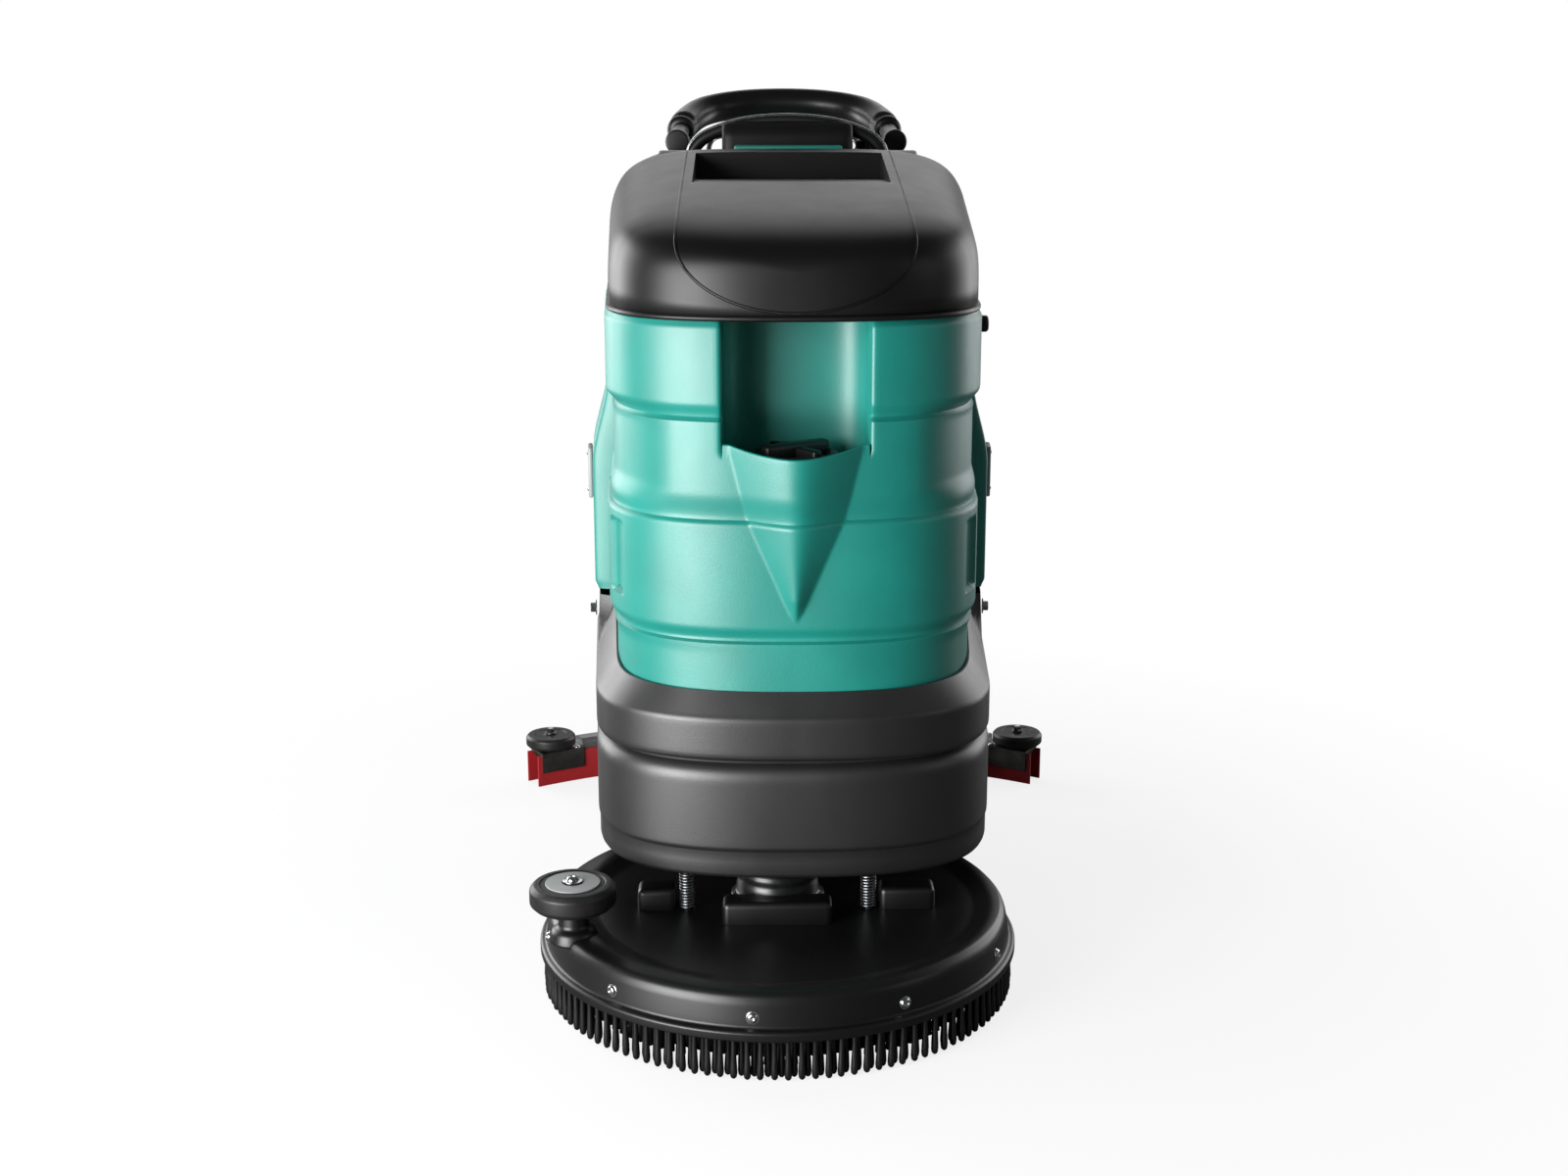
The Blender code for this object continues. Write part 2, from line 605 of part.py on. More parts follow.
def power():
    """Two batteries and the drive controller."""
    z = CHASSIS_Z + CHASSIS_THICK + GAP
    near, far = 0.002, CHASSIS_HALF - 0.012
    for name, low, high in (("battery_left", -far, -near), ("battery_right", near, far)):
        node(name, box(low, high, -0.080, 0.180, z, z + 0.165, 0.004), DARK, 0.4)
    node("drive_controller", box(0.028 - CHASSIS_HALF, -0.02, 0.205, 0.300, z, z + 0.05, 0.003), BLACK, 0.4)


def traction():
    """Transaxle, axle shaft and two drive wheels with tyres."""
    case = node("transaxle", box(-0.09, 0.09, WHEEL_Y - 0.045, WHEEL_Y + 0.045, 0.055,
                                 0.150 - GAP, 0.008), STEEL, 0.45, 0.6)
    boolean(case, disc(0.022, 0.058 - WHEEL_X, WHEEL_X - 0.058, 20), "UNION", at=(0, WHEEL_Y, WHEEL_RADIUS),
            turn=(0, pi / 2, 0))
    boolean(case, disc(0.0105, -WHEEL_X, WHEEL_X, 16), "DIFFERENCE", at=(0, WHEEL_Y, WHEEL_RADIUS),
            turn=(0, pi / 2, 0))
    reach = WHEEL_X + WHEEL_WIDTH / 2 + 0.007
    node("axle", disc(0.0102, -reach, reach, 16), STEEL, 0.25, 0.9,
         at=(0, WHEEL_Y, WHEEL_RADIUS), turn=(0, pi / 2, 0))
    half = WHEEL_WIDTH / 2
    for name, side in (("left", -1), ("right", 1)):
        at = (side * WHEEL_X, WHEEL_Y, WHEEL_RADIUS)
        hub = lathe([(0.0105, -half + 0.002), (0.030, -half + 0.002), (0.034, -0.006),
                     (0.066, -0.006), (0.070, -half + 0.004), (0.074, -half + 0.004),
                     (0.074, half - 0.004), (0.070, half - 0.004), (0.066, 0.006), (0.034, 0.006),
                     (0.030, half - 0.002), (0.0105, half - 0.002)], 20, True)
        node(f"wheel_hub_{name}", hub, STEEL, 0.4, 0.3, at=at, turn=(0, pi / 2, 0))
        tyre = lathe([(0.074 + GAP, -half), (0.092, -half), (WHEEL_RADIUS, -half + 0.007),
                      (WHEEL_RADIUS, half - 0.007), (0.092, half), (0.074 + GAP, half)], 20, True)
        node(f"tyre_{name}", tyre, BLACK, 0.85, at=at, turn=(0, pi / 2, 0))


def castors():
    """Two swivel castors under the rear of the chassis."""
    for name, side in (("left", -1), ("right", 1)):
        x = side * CASTOR_X
        yoke_top = CHASSIS_Z - CASTOR_PLATE - GAP
        fork = node(f"castor_fork_{name}", disc(0.026, yoke_top - 0.014, yoke_top, 24, 0.003),
                    STEEL, 0.35, 0.8, at=(x, CASTOR_Y, 0))
        axle_z = CASTOR_RADIUS
        cheek = [(-0.020, yoke_top - 0.006), (0.020, yoke_top - 0.006), (CASTOR_TRAIL + 0.012,
                 axle_z + 0.012), (CASTOR_TRAIL + 0.010, axle_z - 0.011),
                 (CASTOR_TRAIL - 0.010, axle_z - 0.011)]
        for low in (-0.020, 0.016):
            boolean(fork, slab_x(cheek, low, low + 0.004), "UNION", at=(x, CASTOR_Y, 0))
        boolean(fork, disc(0.005, -0.022, 0.022, 12), "UNION",
                at=(x, CASTOR_Y + CASTOR_TRAIL, axle_z), turn=(0, pi / 2, 0))
        wheel = lathe([(0.0053, -0.014), (0.012, -0.014), (0.014, -0.012), (0.034, -0.012),
                       (CASTOR_RADIUS, -0.008), (CASTOR_RADIUS, 0.008), (0.034, 0.012),
                       (0.014, 0.012), (0.012, 0.014), (0.0053, 0.014)], 20, True)
        node(f"castor_wheel_{name}", wheel, DARK, 0.6, at=(x, CASTOR_Y + CASTOR_TRAIL, axle_z),
             turn=(0, pi / 2, 0))


def brush_deck():
    """Deck cover with raised blocks, tuft skirt, springs, guide bolts and bumper roller."""
    at = (DECK_X, DECK_Y, 0)
    outer = DECK_RADIUS
    under = PLATEAU_Z - DECK_WALL
    profile = [(0.030, PLATEAU_Z), (outer - 0.048, PLATEAU_Z), (outer - 0.037, SHOULDER_Z),
               (outer - 0.019, SHOULDER_Z), (outer - 0.012, SHOULDER_Z - 0.005),
               (outer - 0.010, SHOULDER_Z - 0.012), (outer - 0.007, 0.060),
               (outer, 0.058), (outer, LIP_Z), (outer - 0.012, LIP_Z), (outer - 0.014, 0.078),
               (outer - 0.022, under), (0.030, under)]
    cover = node("deck_cover", lathe(profile, 36, True), BLACK, 0.4, at=at)
    front = DECK_Y - 0.072
    for x0, x1 in ((-0.064, 0.062), (-0.164, -0.119), (0.119, 0.184)):
        boolean(cover, box(DECK_X + x0, DECK_X + x1, front, front + 0.040, PLATEAU_Z - 0.003,
                           PLATEAU_Z + 0.021, 0.005), "UNION")
    bore = disc(0.058, PLATEAU_Z + 0.0002, PLATEAU_Z + 0.05, 28)
    boolean(cover, bore, "DIFFERENCE", at=at)
    node("tuft_skirt", ring(outer - 0.018, outer - 0.003, 0.0015, LIP_Z - GAP, 36), BLACK, 0.7,
         at=at)
    for name, side in (("left", -1), ("right", 1)):
        place = (DECK_X + side * SPRING_HALF_SPAN, DECK_Y + SPRING_BACK, 0)
        low = PLATEAU_Z + GAP + SPRING_WIRE
        high = CHASSIS_Z - GAP - SPRING_WIRE
        count = SPRING_TURNS * 8 + 1
        coil = []
        for i in range(count):
            angle = 2 * pi * i / 8
            radius = SPRING_RADIUS - SPRING_WIRE
            coil.append((radius * cos(angle), radius * sin(angle),
                         low + (high - low) * i / (count - 1)))
        node(f"deck_spring_{name}", sweep(coil, [SPRING_WIRE] * count, 5), STEEL, 0.3, 0.9,
             at=place)
        bolt = lathe([(0, PLATEAU_Z - 0.003), (0.0050, PLATEAU_Z - 0.003), (0.0050, 0.178),
                      (0.010, 0.178), (0.010, 0.185), (0, 0.185)], 12)
        boolean(cover, bolt, "UNION", at=place)


def bumper():
    """Deck bumper roller on its post."""
    reach = DECK_RADIUS - 0.0274
    place = (DECK_X - reach * cos(BUMPER_ANGLE), DECK_Y - reach * sin(BUMPER_ANGLE), 0)
    post = lathe([(0, SHOULDER_Z + GAP), (0.012, SHOULDER_Z + GAP), (0.012, 0.1285),
                  (0.0070, 0.1285), (0.0070, 0.1605), (0.010, 0.1605), (0.010, 0.168),
                  (0, 0.168)], 16)
    node("bumper_post", post, STEEL, 0.3, 0.9, at=place)
    roller = lathe([(0.0073, 0.129), (0.044, 0.129), (0.049, 0.134), (0.049, 0.152),
                    (0.044, 0.157), (0.030, 0.157), (0.028, 0.1595), (0.0073, 0.1595)], 24, True)
    node("bumper_roller", roller, DARK, 0.6, at=place)


def brush_drive():
    """Gear motor on the deck, spindle bearing and hub, brush block and bristles."""
    at = (DECK_X, DECK_Y, 0)
    z = PLATEAU_Z + GAP
    motor = lathe([(0, z), (0.055, z), (0.055, z + 0.012), (0.048, z + 0.016), (0.048, 0.240),
                   (0.040, 0.252), (0, 0.252)], 28)
    node("brush_motor", motor, BLACK, 0.4, 0.2, at=at)
    under = PLATEAU_Z - DECK_WALL
    node("spindle_bearing", ring(0.0123, 0.0297, under - 0.006, PLATEAU_Z - GAP, 24), STEEL, 0.3,
         0.9, at=at)
    hub = lathe([(0, 0.0463), (0.060, 0.0463), (0.060, 0.056), (0.020, 0.060), (0.0120, 0.066),
                 (0.0120, PLATEAU_Z - GAP), (0, PLATEAU_Z - GAP)], 24)
    node("spindle_hub", hub, STEEL, 0.4, 0.7, at=at)
    node("brush_block", disc(BRUSH_RADIUS - 0.006, 0.030, 0.046, 40, 0.003), TEAL, 0.5, at=at)
    node("brush_bristles", ring(0.095, BRUSH_RADIUS, 0.001, 0.030 - GAP, 40), DARK, 0.9, at=at)


def squeegee():
    """Curved squeegee with two blades, end brackets, rollers, bracket and wing knobs."""
    r = SQUEEGEE_RADIUS
    half = SQUEEGEE_THICK / 2
    blade_angle = asin(BLADE_HALF / (r + half + GAP + BLADE_THICK))
    roller_x = WIDTH / 2 - ROLLER_RADIUS
    body_angle = asin((roller_x - ROLLER_RADIUS - 0.003) / r)
    bar = [(r - half, 0.040), (r + half, 0.040), (r + half, 0.060), (r + half - 0.006, 0.064),
           (r - half + 0.006, 0.064), (r - half, 0.060)]
    node("squeegee_bar", arc_bar(bar, -body_angle, body_angle, 20), STEEL, 0.4, 0.8)
    for name, near in (("front_blade", r - half - GAP - BLADE_THICK), ("rear_blade", r + half + GAP)):
        section = [(near, 0.001), (near + BLADE_THICK, 0.001), (near + BLADE_THICK, BLADE_TOP),
                   (near, BLADE_TOP)]
        node(name, arc_bar(section, -blade_angle, blade_angle, 24), RED, 0.4)
    face = r - half - BLADE_THICK - 2 * GAP
    ell = [(face - 0.003, 0.022), (face, 0.022), (face, BLADE_TOP + GAP), (r + half + 0.003,
           BLADE_TOP + GAP), (r + half + 0.003, BLADE_TOP + 0.004), (face - 0.003, BLADE_TOP + 0.004)]
    roller_angle = asin(roller_x / r)
    roller_y = SQUEEGEE_REAR - r + r * cos(roller_angle)
    for name, side in (("left", -1), ("right", 1)):
        low, high = sorted((side * (body_angle + GAP / r * 1.5), side * (blade_angle - 0.01)))
        bracket = node(f"end_bracket_{name}", arc_bar(ell, low, high, 3), STEEL, 0.35, 0.9)
        z = BLADE_TOP + 0.004
        bolt = lathe([(0, z - 0.002), (0.010, z - 0.002), (0.010, z + 0.004), (0.0050, z + 0.004),
                      (0.0050, z + 0.026), (0.009, z + 0.026), (0.009, z + 0.032), (0, z + 0.032)], 16)
        place = (side * roller_x, roller_y, 0)
        boolean(bracket, bolt, "UNION", at=place)
        base = z + 0.004 + GAP
        roller = lathe([(0.0053, base), (0.034, base), (ROLLER_RADIUS, base + 0.0035),
                        (ROLLER_RADIUS, base + ROLLER_THICK - 0.0045),
                        (0.034, base + ROLLER_THICK - 0.001), (0.0053, base + ROLLER_THICK - 0.001)],
                       20, True)
        node(f"squeegee_roller_{name}", roller, DARK, 0.6, at=place)
    plate_y = SQUEEGEE_REAR - 0.012
    plate = node("squeegee_plate", box(-0.085, 0.085, plate_y - 0.018, plate_y + 0.020,
                                       0.064 + GAP, 0.069, 0.001), STEEL, 0.35, 0.9)
    for x in (-0.062, 0.062):
        boolean(plate, disc(0.010, 0.066, 0.080, 16), "UNION", at=(x, plate_y, 0))
        boolean(plate, box(-0.019, 0.019, -0.0035, 0.0035, 0.074, 0.086, 0.002), "UNION",
                at=(x, plate_y, 0), turn=(0, 0, radians(25)))


def pivot_pin(pivot):
    """Middle of the lift lever's pin behind its bracket."""
    return (pivot[0], pivot[1] + 0.023, pivot[2])


def squeegee_arm():
    """Lift arm on its chassis pivot, with the lift lever at the rear of the tank."""
    top = 0.069 + GAP
    y, z = ARM_PIVOT_Y, ARM_PIVOT_Z
    side = [(y - 0.010, z - 0.010), (y + 0.012, z - 0.012), (0.400, top), (SQUEEGEE_REAR, top),
            (SQUEEGEE_REAR, top + 0.007), (0.408, top + 0.008), (y + 0.010, z + 0.010),
            (y - 0.010, z + 0.010)]
    made = node("squeegee_arm", slab_x(side, -0.0205, 0.0205), STEEL, 0.4, 0.8)
    boolean(made, disc(0.0050, -0.0213, 0.0213, 16), "UNION", at=(0, y, z), turn=(0, pi / 2, 0))
    pivot = (BODY_HALF - 0.067, BODY_REAR + GAP, 0.560)
    clevis = node("lever_bracket", box(-0.020, 0.020, 0, 0.010, -0.025, 0.025, 0.002), BLACK, 0.5,
                  at=pivot)
    for x in (-0.013, 0.007):
        boolean(clevis, box(x, x + 0.006, 0.005, 0.032, -0.010, 0.010), "UNION", at=pivot)
    boolean(clevis, disc(0.0040, -0.010, 0.010, 12), "UNION", at=pivot_pin(pivot),
            turn=(0, pi / 2, 0))
    lever = [(0.016, -0.012), (0.030, -0.012), (0.034, 0.120), (0.050, 0.190), (0.040, 0.192),
             (0.024, 0.122), (0.016, 0.012)]
    made = node("lift_lever", slab_x(lever, -0.005, 0.005), STEEL, 0.35, 0.8, at=pivot)
    boolean(made, disc(0.0043, -0.02, 0.02, 12), "DIFFERENCE", at=pivot_pin(pivot),
            turn=(0, pi / 2, 0))
    knob = lathe([(0, 0), (0.010, 0), (0.016, 0.012), (0.014, 0.028), (0, 0.034)], 16)
    node("lever_knob", knob, RED, 0.4, at=(pivot[0], pivot[1] + 0.0451, pivot[2] + 0.1925))


def pedal():
    """Foot pedal that lifts the deck."""
    side = [(-0.009, -0.009), (0.009, -0.009), (0.060, 0.004), (0.088, 0.004), (0.088, 0.013),
            (0.055, 0.013), (0.006, 0.009), (-0.009, 0.009)]
    made = node("deck_pedal", slab_x(side, -0.016, 0.016), STEEL, 0.4, 0.8, at=(PEDAL_X, 0.354, 0.129))
    boolean(made, disc(0.0045, -0.03, 0.03, 12), "DIFFERENCE", at=(PEDAL_X, 0.354, 0.129),
            turn=(0, pi / 2, 0))
    boolean(made, box(-0.030, 0.030, 0.060, 0.096, 0.010, 0.020, 0.003), "UNION",
            at=(PEDAL_X, 0.354, 0.129))


def body_trim():
    """Side plates, side knob, suction spigot and drain cap."""
    slope = BODY_HALF * (flare(0.04) - flare(0.0)) / 0.04
    for name, side in (("left", -1), ("right", 1)):
        x = side * (BODY_HALF * flare(0.02) + 0.003 + GAP)
        node(f"side_plate_{name}", box(-0.003, 0.003, -0.020, 0.020, 0.520, 0.585, 0.001), STEEL,
             0.4, 0.3, at=(x, 0.02, 0), turn=(0, 0, -side * slope))
    knob = lathe([(0, 0), (0.008, 0), (0.010, 0.004), (0.010, 0.010), (0, 0.012)], 16)
    node("side_knob", knob, BLACK, 0.5, at=(tank_half(0.75) * flare(-0.10) + GAP + 0.0004, -0.10,
                                            0.752), turn=(0, pi / 2, 0))
    spigot = lathe([(0.018, 0), (0.030, 0), (0.030, 0.006), (0.022, 0.006), (0.022, 0.034),
                    (0.024, 0.038), (0.022, 0.042), (0.018, 0.042)], 20, True)
    node("suction_spigot", spigot, BLACK, 0.5, at=(-0.110, BODY_REAR + GAP, 0.620),
         turn=(-pi / 2, 0, 0))
    drain = lathe([(0, 0), (0.030, 0), (0.030, 0.006), (0.022, 0.006), (0.022, 0.030), (0.026, 0.030),
                   (0.026, 0.044), (0, 0.044)], 20)
    node("drain_cap", drain, BLACK, 0.5, at=(-0.110, BODY_REAR + GAP, 0.480), turn=(-pi / 2, 0, 0))


def main():
    start()
    chassis()
    lower_shell()
    front_tank()
    filler()
    rear_tank()
    vacuum_unit()
    lid()
    controls(console())
    handle()
    power()
    traction()
    castors()
    brush_deck()
    bumper()
    brush_drive()
    squeegee()
    squeegee_arm()
    pedal()
    body_trim()


main()
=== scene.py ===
from math import cos, pi, radians, sin

import bmesh
import bpy
import numpy as np
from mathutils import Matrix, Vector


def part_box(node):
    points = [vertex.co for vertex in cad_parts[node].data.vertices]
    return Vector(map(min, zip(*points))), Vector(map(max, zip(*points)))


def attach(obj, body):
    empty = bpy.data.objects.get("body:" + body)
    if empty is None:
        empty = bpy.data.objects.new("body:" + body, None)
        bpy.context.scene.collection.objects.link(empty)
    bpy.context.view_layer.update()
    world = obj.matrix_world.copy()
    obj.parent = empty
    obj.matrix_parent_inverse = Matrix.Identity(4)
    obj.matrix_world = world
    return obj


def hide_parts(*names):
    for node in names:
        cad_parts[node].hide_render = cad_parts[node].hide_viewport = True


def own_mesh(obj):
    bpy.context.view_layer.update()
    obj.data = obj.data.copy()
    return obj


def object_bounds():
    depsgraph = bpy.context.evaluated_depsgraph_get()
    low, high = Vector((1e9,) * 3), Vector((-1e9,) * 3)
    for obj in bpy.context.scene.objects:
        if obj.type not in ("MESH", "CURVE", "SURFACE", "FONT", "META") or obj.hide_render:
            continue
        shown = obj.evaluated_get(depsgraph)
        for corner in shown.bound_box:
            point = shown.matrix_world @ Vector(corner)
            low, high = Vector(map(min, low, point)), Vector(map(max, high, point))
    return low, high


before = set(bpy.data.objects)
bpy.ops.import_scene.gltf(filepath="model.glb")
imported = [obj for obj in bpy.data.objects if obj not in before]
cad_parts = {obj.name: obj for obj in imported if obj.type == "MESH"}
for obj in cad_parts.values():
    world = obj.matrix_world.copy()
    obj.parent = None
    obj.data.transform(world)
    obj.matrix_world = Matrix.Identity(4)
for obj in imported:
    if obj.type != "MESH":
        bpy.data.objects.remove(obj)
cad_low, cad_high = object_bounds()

bl_info = {
    "name": "Floor Scrubber",
    "version": (1, 0, 0),
    "blender": (4, 5, 0),
    "location": "View3D > Sidebar > Scrubber",
    "description": "Gives a packed walk-behind floor scrubber its moulded shapes and finishes",
    "category": "Add Mesh",
}

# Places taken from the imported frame, in metres: +Z up, front towards -Y
SHELL_LOW, SHELL_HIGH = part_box("lower_shell")
NOSE_Y = SHELL_LOW.y                      # front of the body's plan
BODY_REAR = SHELL_HIGH.y
FLARE = 0.30                              # widening of the plan per metre behind the nose
FLARE_START, FLARE_RUN = 0.105, 0.37
BODY_HALF = SHELL_HIGH.x / (1 + FLARE * FLARE_RUN)
NOSE = 0.170                              # depth of the plan's rounded front
PLAN_POWER = 2.6                          # roundness of the plan's front corners
TANK_FRONT = NOSE_Y + 0.020
TANK_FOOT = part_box("front_tank")[0].z
TANK_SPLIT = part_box("front_tank")[1].y
LID_LOW, LID_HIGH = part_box("lid")
LID_EDGE = LID_LOW.z
LID_TOP = LID_HIGH.z
LID_BACK = LID_HIGH.y
LID_HALF = BODY_HALF - 0.0235
LID_FRONT = NOSE_Y + 0.012
TANK_RIM = LID_EDGE - 0.0006
DECK_LOW, DECK_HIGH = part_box("deck_cover")
DECK_X = (DECK_LOW.x + DECK_HIGH.x) / 2
DECK_Y = (DECK_LOW.y + DECK_HIGH.y) / 2
DECK_RADIUS = (DECK_HIGH.x - DECK_LOW.x) / 2
LIP_Z = DECK_LOW.z
TANK_INSET = 0.0185                       # tank wall behind the body's side
TANK_RIM_INSET = 0.016                    # thickness of the recovery tank's rim
ALCOVE_HALF = 0.081                       # filler alcove in the solution tank's front
ALCOVE_BACK = TANK_FRONT + 0.105
ALCOVE_FLOOR = 0.605


# ---------------------------------------------------------------- shapes

def smooth(t):
    """Ease from 0 to 1: 3t^2 - 2t^3 between its ends."""
    t = np.clip(t, 0.0, 1.0)
    return t * t * (3 - 2 * t)


def flare(y):
    """Widening of the plan: one at the front corners, growing evenly to the rear."""
    return 1 + FLARE * np.clip(y - NOSE_Y - FLARE_START, 0.0, FLARE_RUN)


def skin(points, wrap_rows=False, wrap_cols=True, caps=(True, True)):
    """Quads over a rows x columns grid; a capped end row is fanned from its centre."""
    points = np.asarray(points, float)
    rows, cols = points.shape[:2]
    r = np.arange(rows if wrap_rows else rows - 1)[:, None]
    c = np.arange(cols if wrap_cols else cols - 1)[None, :]
    r2, c2 = (r + 1) % rows, (c + 1) % cols
    quads = np.stack([r * cols + c, r * cols + c2, r2 * cols + c2, r2 * cols + c], -1)
    verts = points.reshape(-1, 3)
    faces = quads.reshape(-1, 4).tolist()
    for cap, row in zip(caps, (0, rows - 1)):
        if cap and not wrap_rows:
            hub = len(verts)
            verts = np.vstack([verts, points[row].mean(0)])
            i = np.arange(cols)
            fan = np.stack([np.full(cols, hub), row * cols + (i + 1) % cols, row * cols + i], -1)
            faces += (fan if row == 0 else fan[:, ::-1]).tolist()
    return verts, faces


def spot(node):
    """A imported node's lowest and highest corners, and its middle."""
    low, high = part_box(node)
    return low, high, np.array([(a + b) / 2 for a, b in zip(low, high)])


def copies(part, places):
    """The same part moved to each place."""
    verts, faces = part
    return [(verts + np.asarray(place), faces) for place in places]


def facing(axis):
    """Three square axes as rows; the third points along the given direction."""
    w = np.array(axis, float)
    w /= np.linalg.norm(w)
    helper = np.array((0, 0, 1.0)) if abs(w[2]) < 0.9 else np.array((1.0, 0, 0))
    u = np.cross(helper, w)
    u /= np.linalg.norm(u)
    return np.stack([u, np.cross(w, u), w])


def turned(profile, centre=(0, 0, 0), axis=(0, 0, 1), steps=48, ring=False):
    """(radius, height) profile turned a full circle about an axis through the centre."""
    profile = np.asarray(profile, float)
    angle = 2 * pi * np.arange(steps) / steps
    radius, height = profile[:, :1], profile[:, 1:]
    local = np.stack([radius * np.cos(angle), radius * np.sin(angle),
                      height + 0 * angle], -1)
    return skin(local @ facing(axis) + np.asarray(centre), wrap_rows=ring)


def lathed(profile, rounding, centre=(0, 0, 0), axis=(0, 0, 1), steps=48, ring=False, bends=4):
    """A turned part whose profile has its corners rounded first."""
    return turned(soften(profile, rounding, steps=bends), centre, axis, steps, ring)


def mirrored(profile):
    """A (radius, height) profile made whole by its mirror image below height zero."""
    return [(radius, -height) for radius, height in profile] + profile[::-1]


def fluted(part, x, y, inner, teeth, share, depth, above=0.0):
    """Draw a turned part in between even teeth, beyond a radius and above a height."""
    verts, faces = part
    away = verts[:, :2] - (x, y)
    between = np.cos(np.arctan2(away[:, 1], away[:, 0]) * teeth) > share
    cut = (np.hypot(away[:, 0], away[:, 1]) > inner) & (verts[:, 2] > above) & between
    verts[:, :2] = away * (1 - depth * cut)[:, None] + (x, y)
    return verts, faces


def soften(points, radius, closed=False, steps=4):
    """Round an outline: each corner becomes a quadratic curve cut back by the radius."""
    points = np.asarray(points, float)
    count, made = len(points), []
    t = np.linspace(0, 1, steps + 1)[:, None]
    for i, corner in enumerate(points):
        if not closed and i in (0, count - 1):
            made.append(corner[None])
            continue
        back, on = points[i - 1] - corner, points[(i + 1) % count] - corner
        lengths = np.linalg.norm(back), np.linalg.norm(on)
        cut = min(radius, 0.45 * lengths[0], 0.45 * lengths[1])
        p, q = corner + back / lengths[0] * cut, corner + on / lengths[1] * cut
        made.append((1 - t) ** 2 * p + 2 * t * (1 - t) * corner + t ** 2 * q)
    return np.concatenate(made)


def spline(points, count):
    """Catmull-Rom curve: each stretch is the cubic through its four nearest points."""
    route = np.asarray(points, float)
    ends = np.vstack([2 * route[0] - route[1], route, 2 * route[-1] - route[-2]])
    t = np.linspace(0, len(route) - 1, count)
    k = np.minimum(t.astype(int), len(route) - 2)
    f = (t - k)[:, None]
    a, b, c, d = (ends[k + i] for i in range(4))
    return 0.5 * (2 * b + (c - a) * f + (2 * a - 5 * b + 4 * c - d) * f ** 2
                  + (3 * b - a - 3 * c + d) * f ** 3)


def swept(path, radius, sides=16, up=(0, 0, 1)):
    """Circle of the radius at each point of a path, square to the path's direction."""
    path = np.asarray(path, float)
    radius = np.broadcast_to(np.asarray(radius, float), len(path))[:, None, None]
    ahead = np.gradient(path, axis=0)
    ahead /= np.linalg.norm(ahead, axis=1, keepdims=True)
    up = np.asarray(up, float)
    side = up - ahead * (ahead @ up)[:, None]
    side /= np.linalg.norm(side, axis=1, keepdims=True)
    across = np.cross(ahead, side)
    angle = (2 * pi * np.arange(sides) / sides)[None, :, None]
    ring = side[:, None] * np.cos(angle) + across[:, None] * np.sin(angle)
    return skin(path[:, None] + radius * ring)


def block(low, high, radius, turn=0.0):
    """Box with rounded edges: a sphere's normals n placed at sign(n) * (half - r) + r * n."""
    steps = 4
    low, high = np.asarray(low, float), np.asarray(high, float)
    half, centre = (high - low) / 2, (high + low) / 2
    quarter = np.linspace(0, pi / 2, steps + 1)
    angle = np.concatenate([quarter + k * pi / 2 for k in range(4)])
    sign_x = np.repeat((1, -1, -1, 1), steps + 1)
    sign_y = np.repeat((1, 1, -1, -1), steps + 1)
    rise = np.concatenate([quarter - pi / 2, quarter])[:, None]
    sign_z = np.repeat((-1, 1), steps + 1)[:, None]
    n = np.stack([np.cos(rise) * np.cos(angle), np.cos(rise) * np.sin(angle),
                  np.sin(rise) + 0 * angle], -1)
    signs = np.stack(np.broadcast_arrays(sign_x[None], sign_y[None], sign_z), -1)
    local = signs * (half - radius) + radius * n
    c, s = cos(turn), sin(turn)
    return skin(local @ np.array([[c, s, 0], [-s, c, 0], [0, 0, 1]]) + centre)


def slab(outline, x0, x1, radius):
    """(y, z) outline carried along X, drawn in towards its middle at both rounded ends."""
    outline = np.asarray(outline, float)
    middle = outline.mean(0)
    reach = np.abs(outline - middle).max()
    a = np.linspace(0, pi / 2, 5)
    inset = np.concatenate([radius * (1 - np.sin(a)), radius * (1 - np.sin(a[::-1]))])
    x = np.concatenate([x0 + radius * (1 - np.cos(a)), x1 - radius * (1 - np.cos(a[::-1]))])
    scale = (1 - inset / reach)[:, None, None]
    yz = middle + (outline - middle)[None] * scale
    return skin(np.concatenate([np.broadcast_to(x[:, None, None], yz.shape[:2] + (1,)), yz], -1))


def add_piece(name, parts, body, finish, slot, replaces=(), wall=0.0, sharp=35):
    """One mesh object from parts, merged, facing out, shaded smooth, riding on its body."""
    verts, faces, base = [], [], 0
    for part_verts, part_faces in parts:
        verts.append(part_verts)
        faces += [[i + base for i in face] for face in part_faces]
        base += len(part_verts)
    mesh = bpy.data.meshes.new(name)
    mesh.from_pydata(np.vstack(verts).tolist(), [], faces)
    bm = bmesh.new()
    bm.from_mesh(mesh)
    bmesh.ops.remove_doubles(bm, verts=bm.verts, dist=1e-6)
    bmesh.ops.dissolve_degenerate(bm, edges=bm.edges, dist=1e-6)
    bmesh.ops.recalc_face_normals(bm, faces=bm.faces)
    bm.to_mesh(mesh)
    bm.free()
    mesh.shade_smooth()
    mesh.set_sharp_from_angle(angle=radians(sharp))
    mesh.materials.append(finish_named(finish))
    made = bpy.data.objects.new(name, mesh)
    bpy.context.scene.collection.objects.link(made)
    if wall:
        step = made.modifiers.new("wall", "SOLIDIFY")
        step.thickness = wall
        step.offset = -1
    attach(made, body)
    if replaces:
        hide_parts(*replaces)
    return made


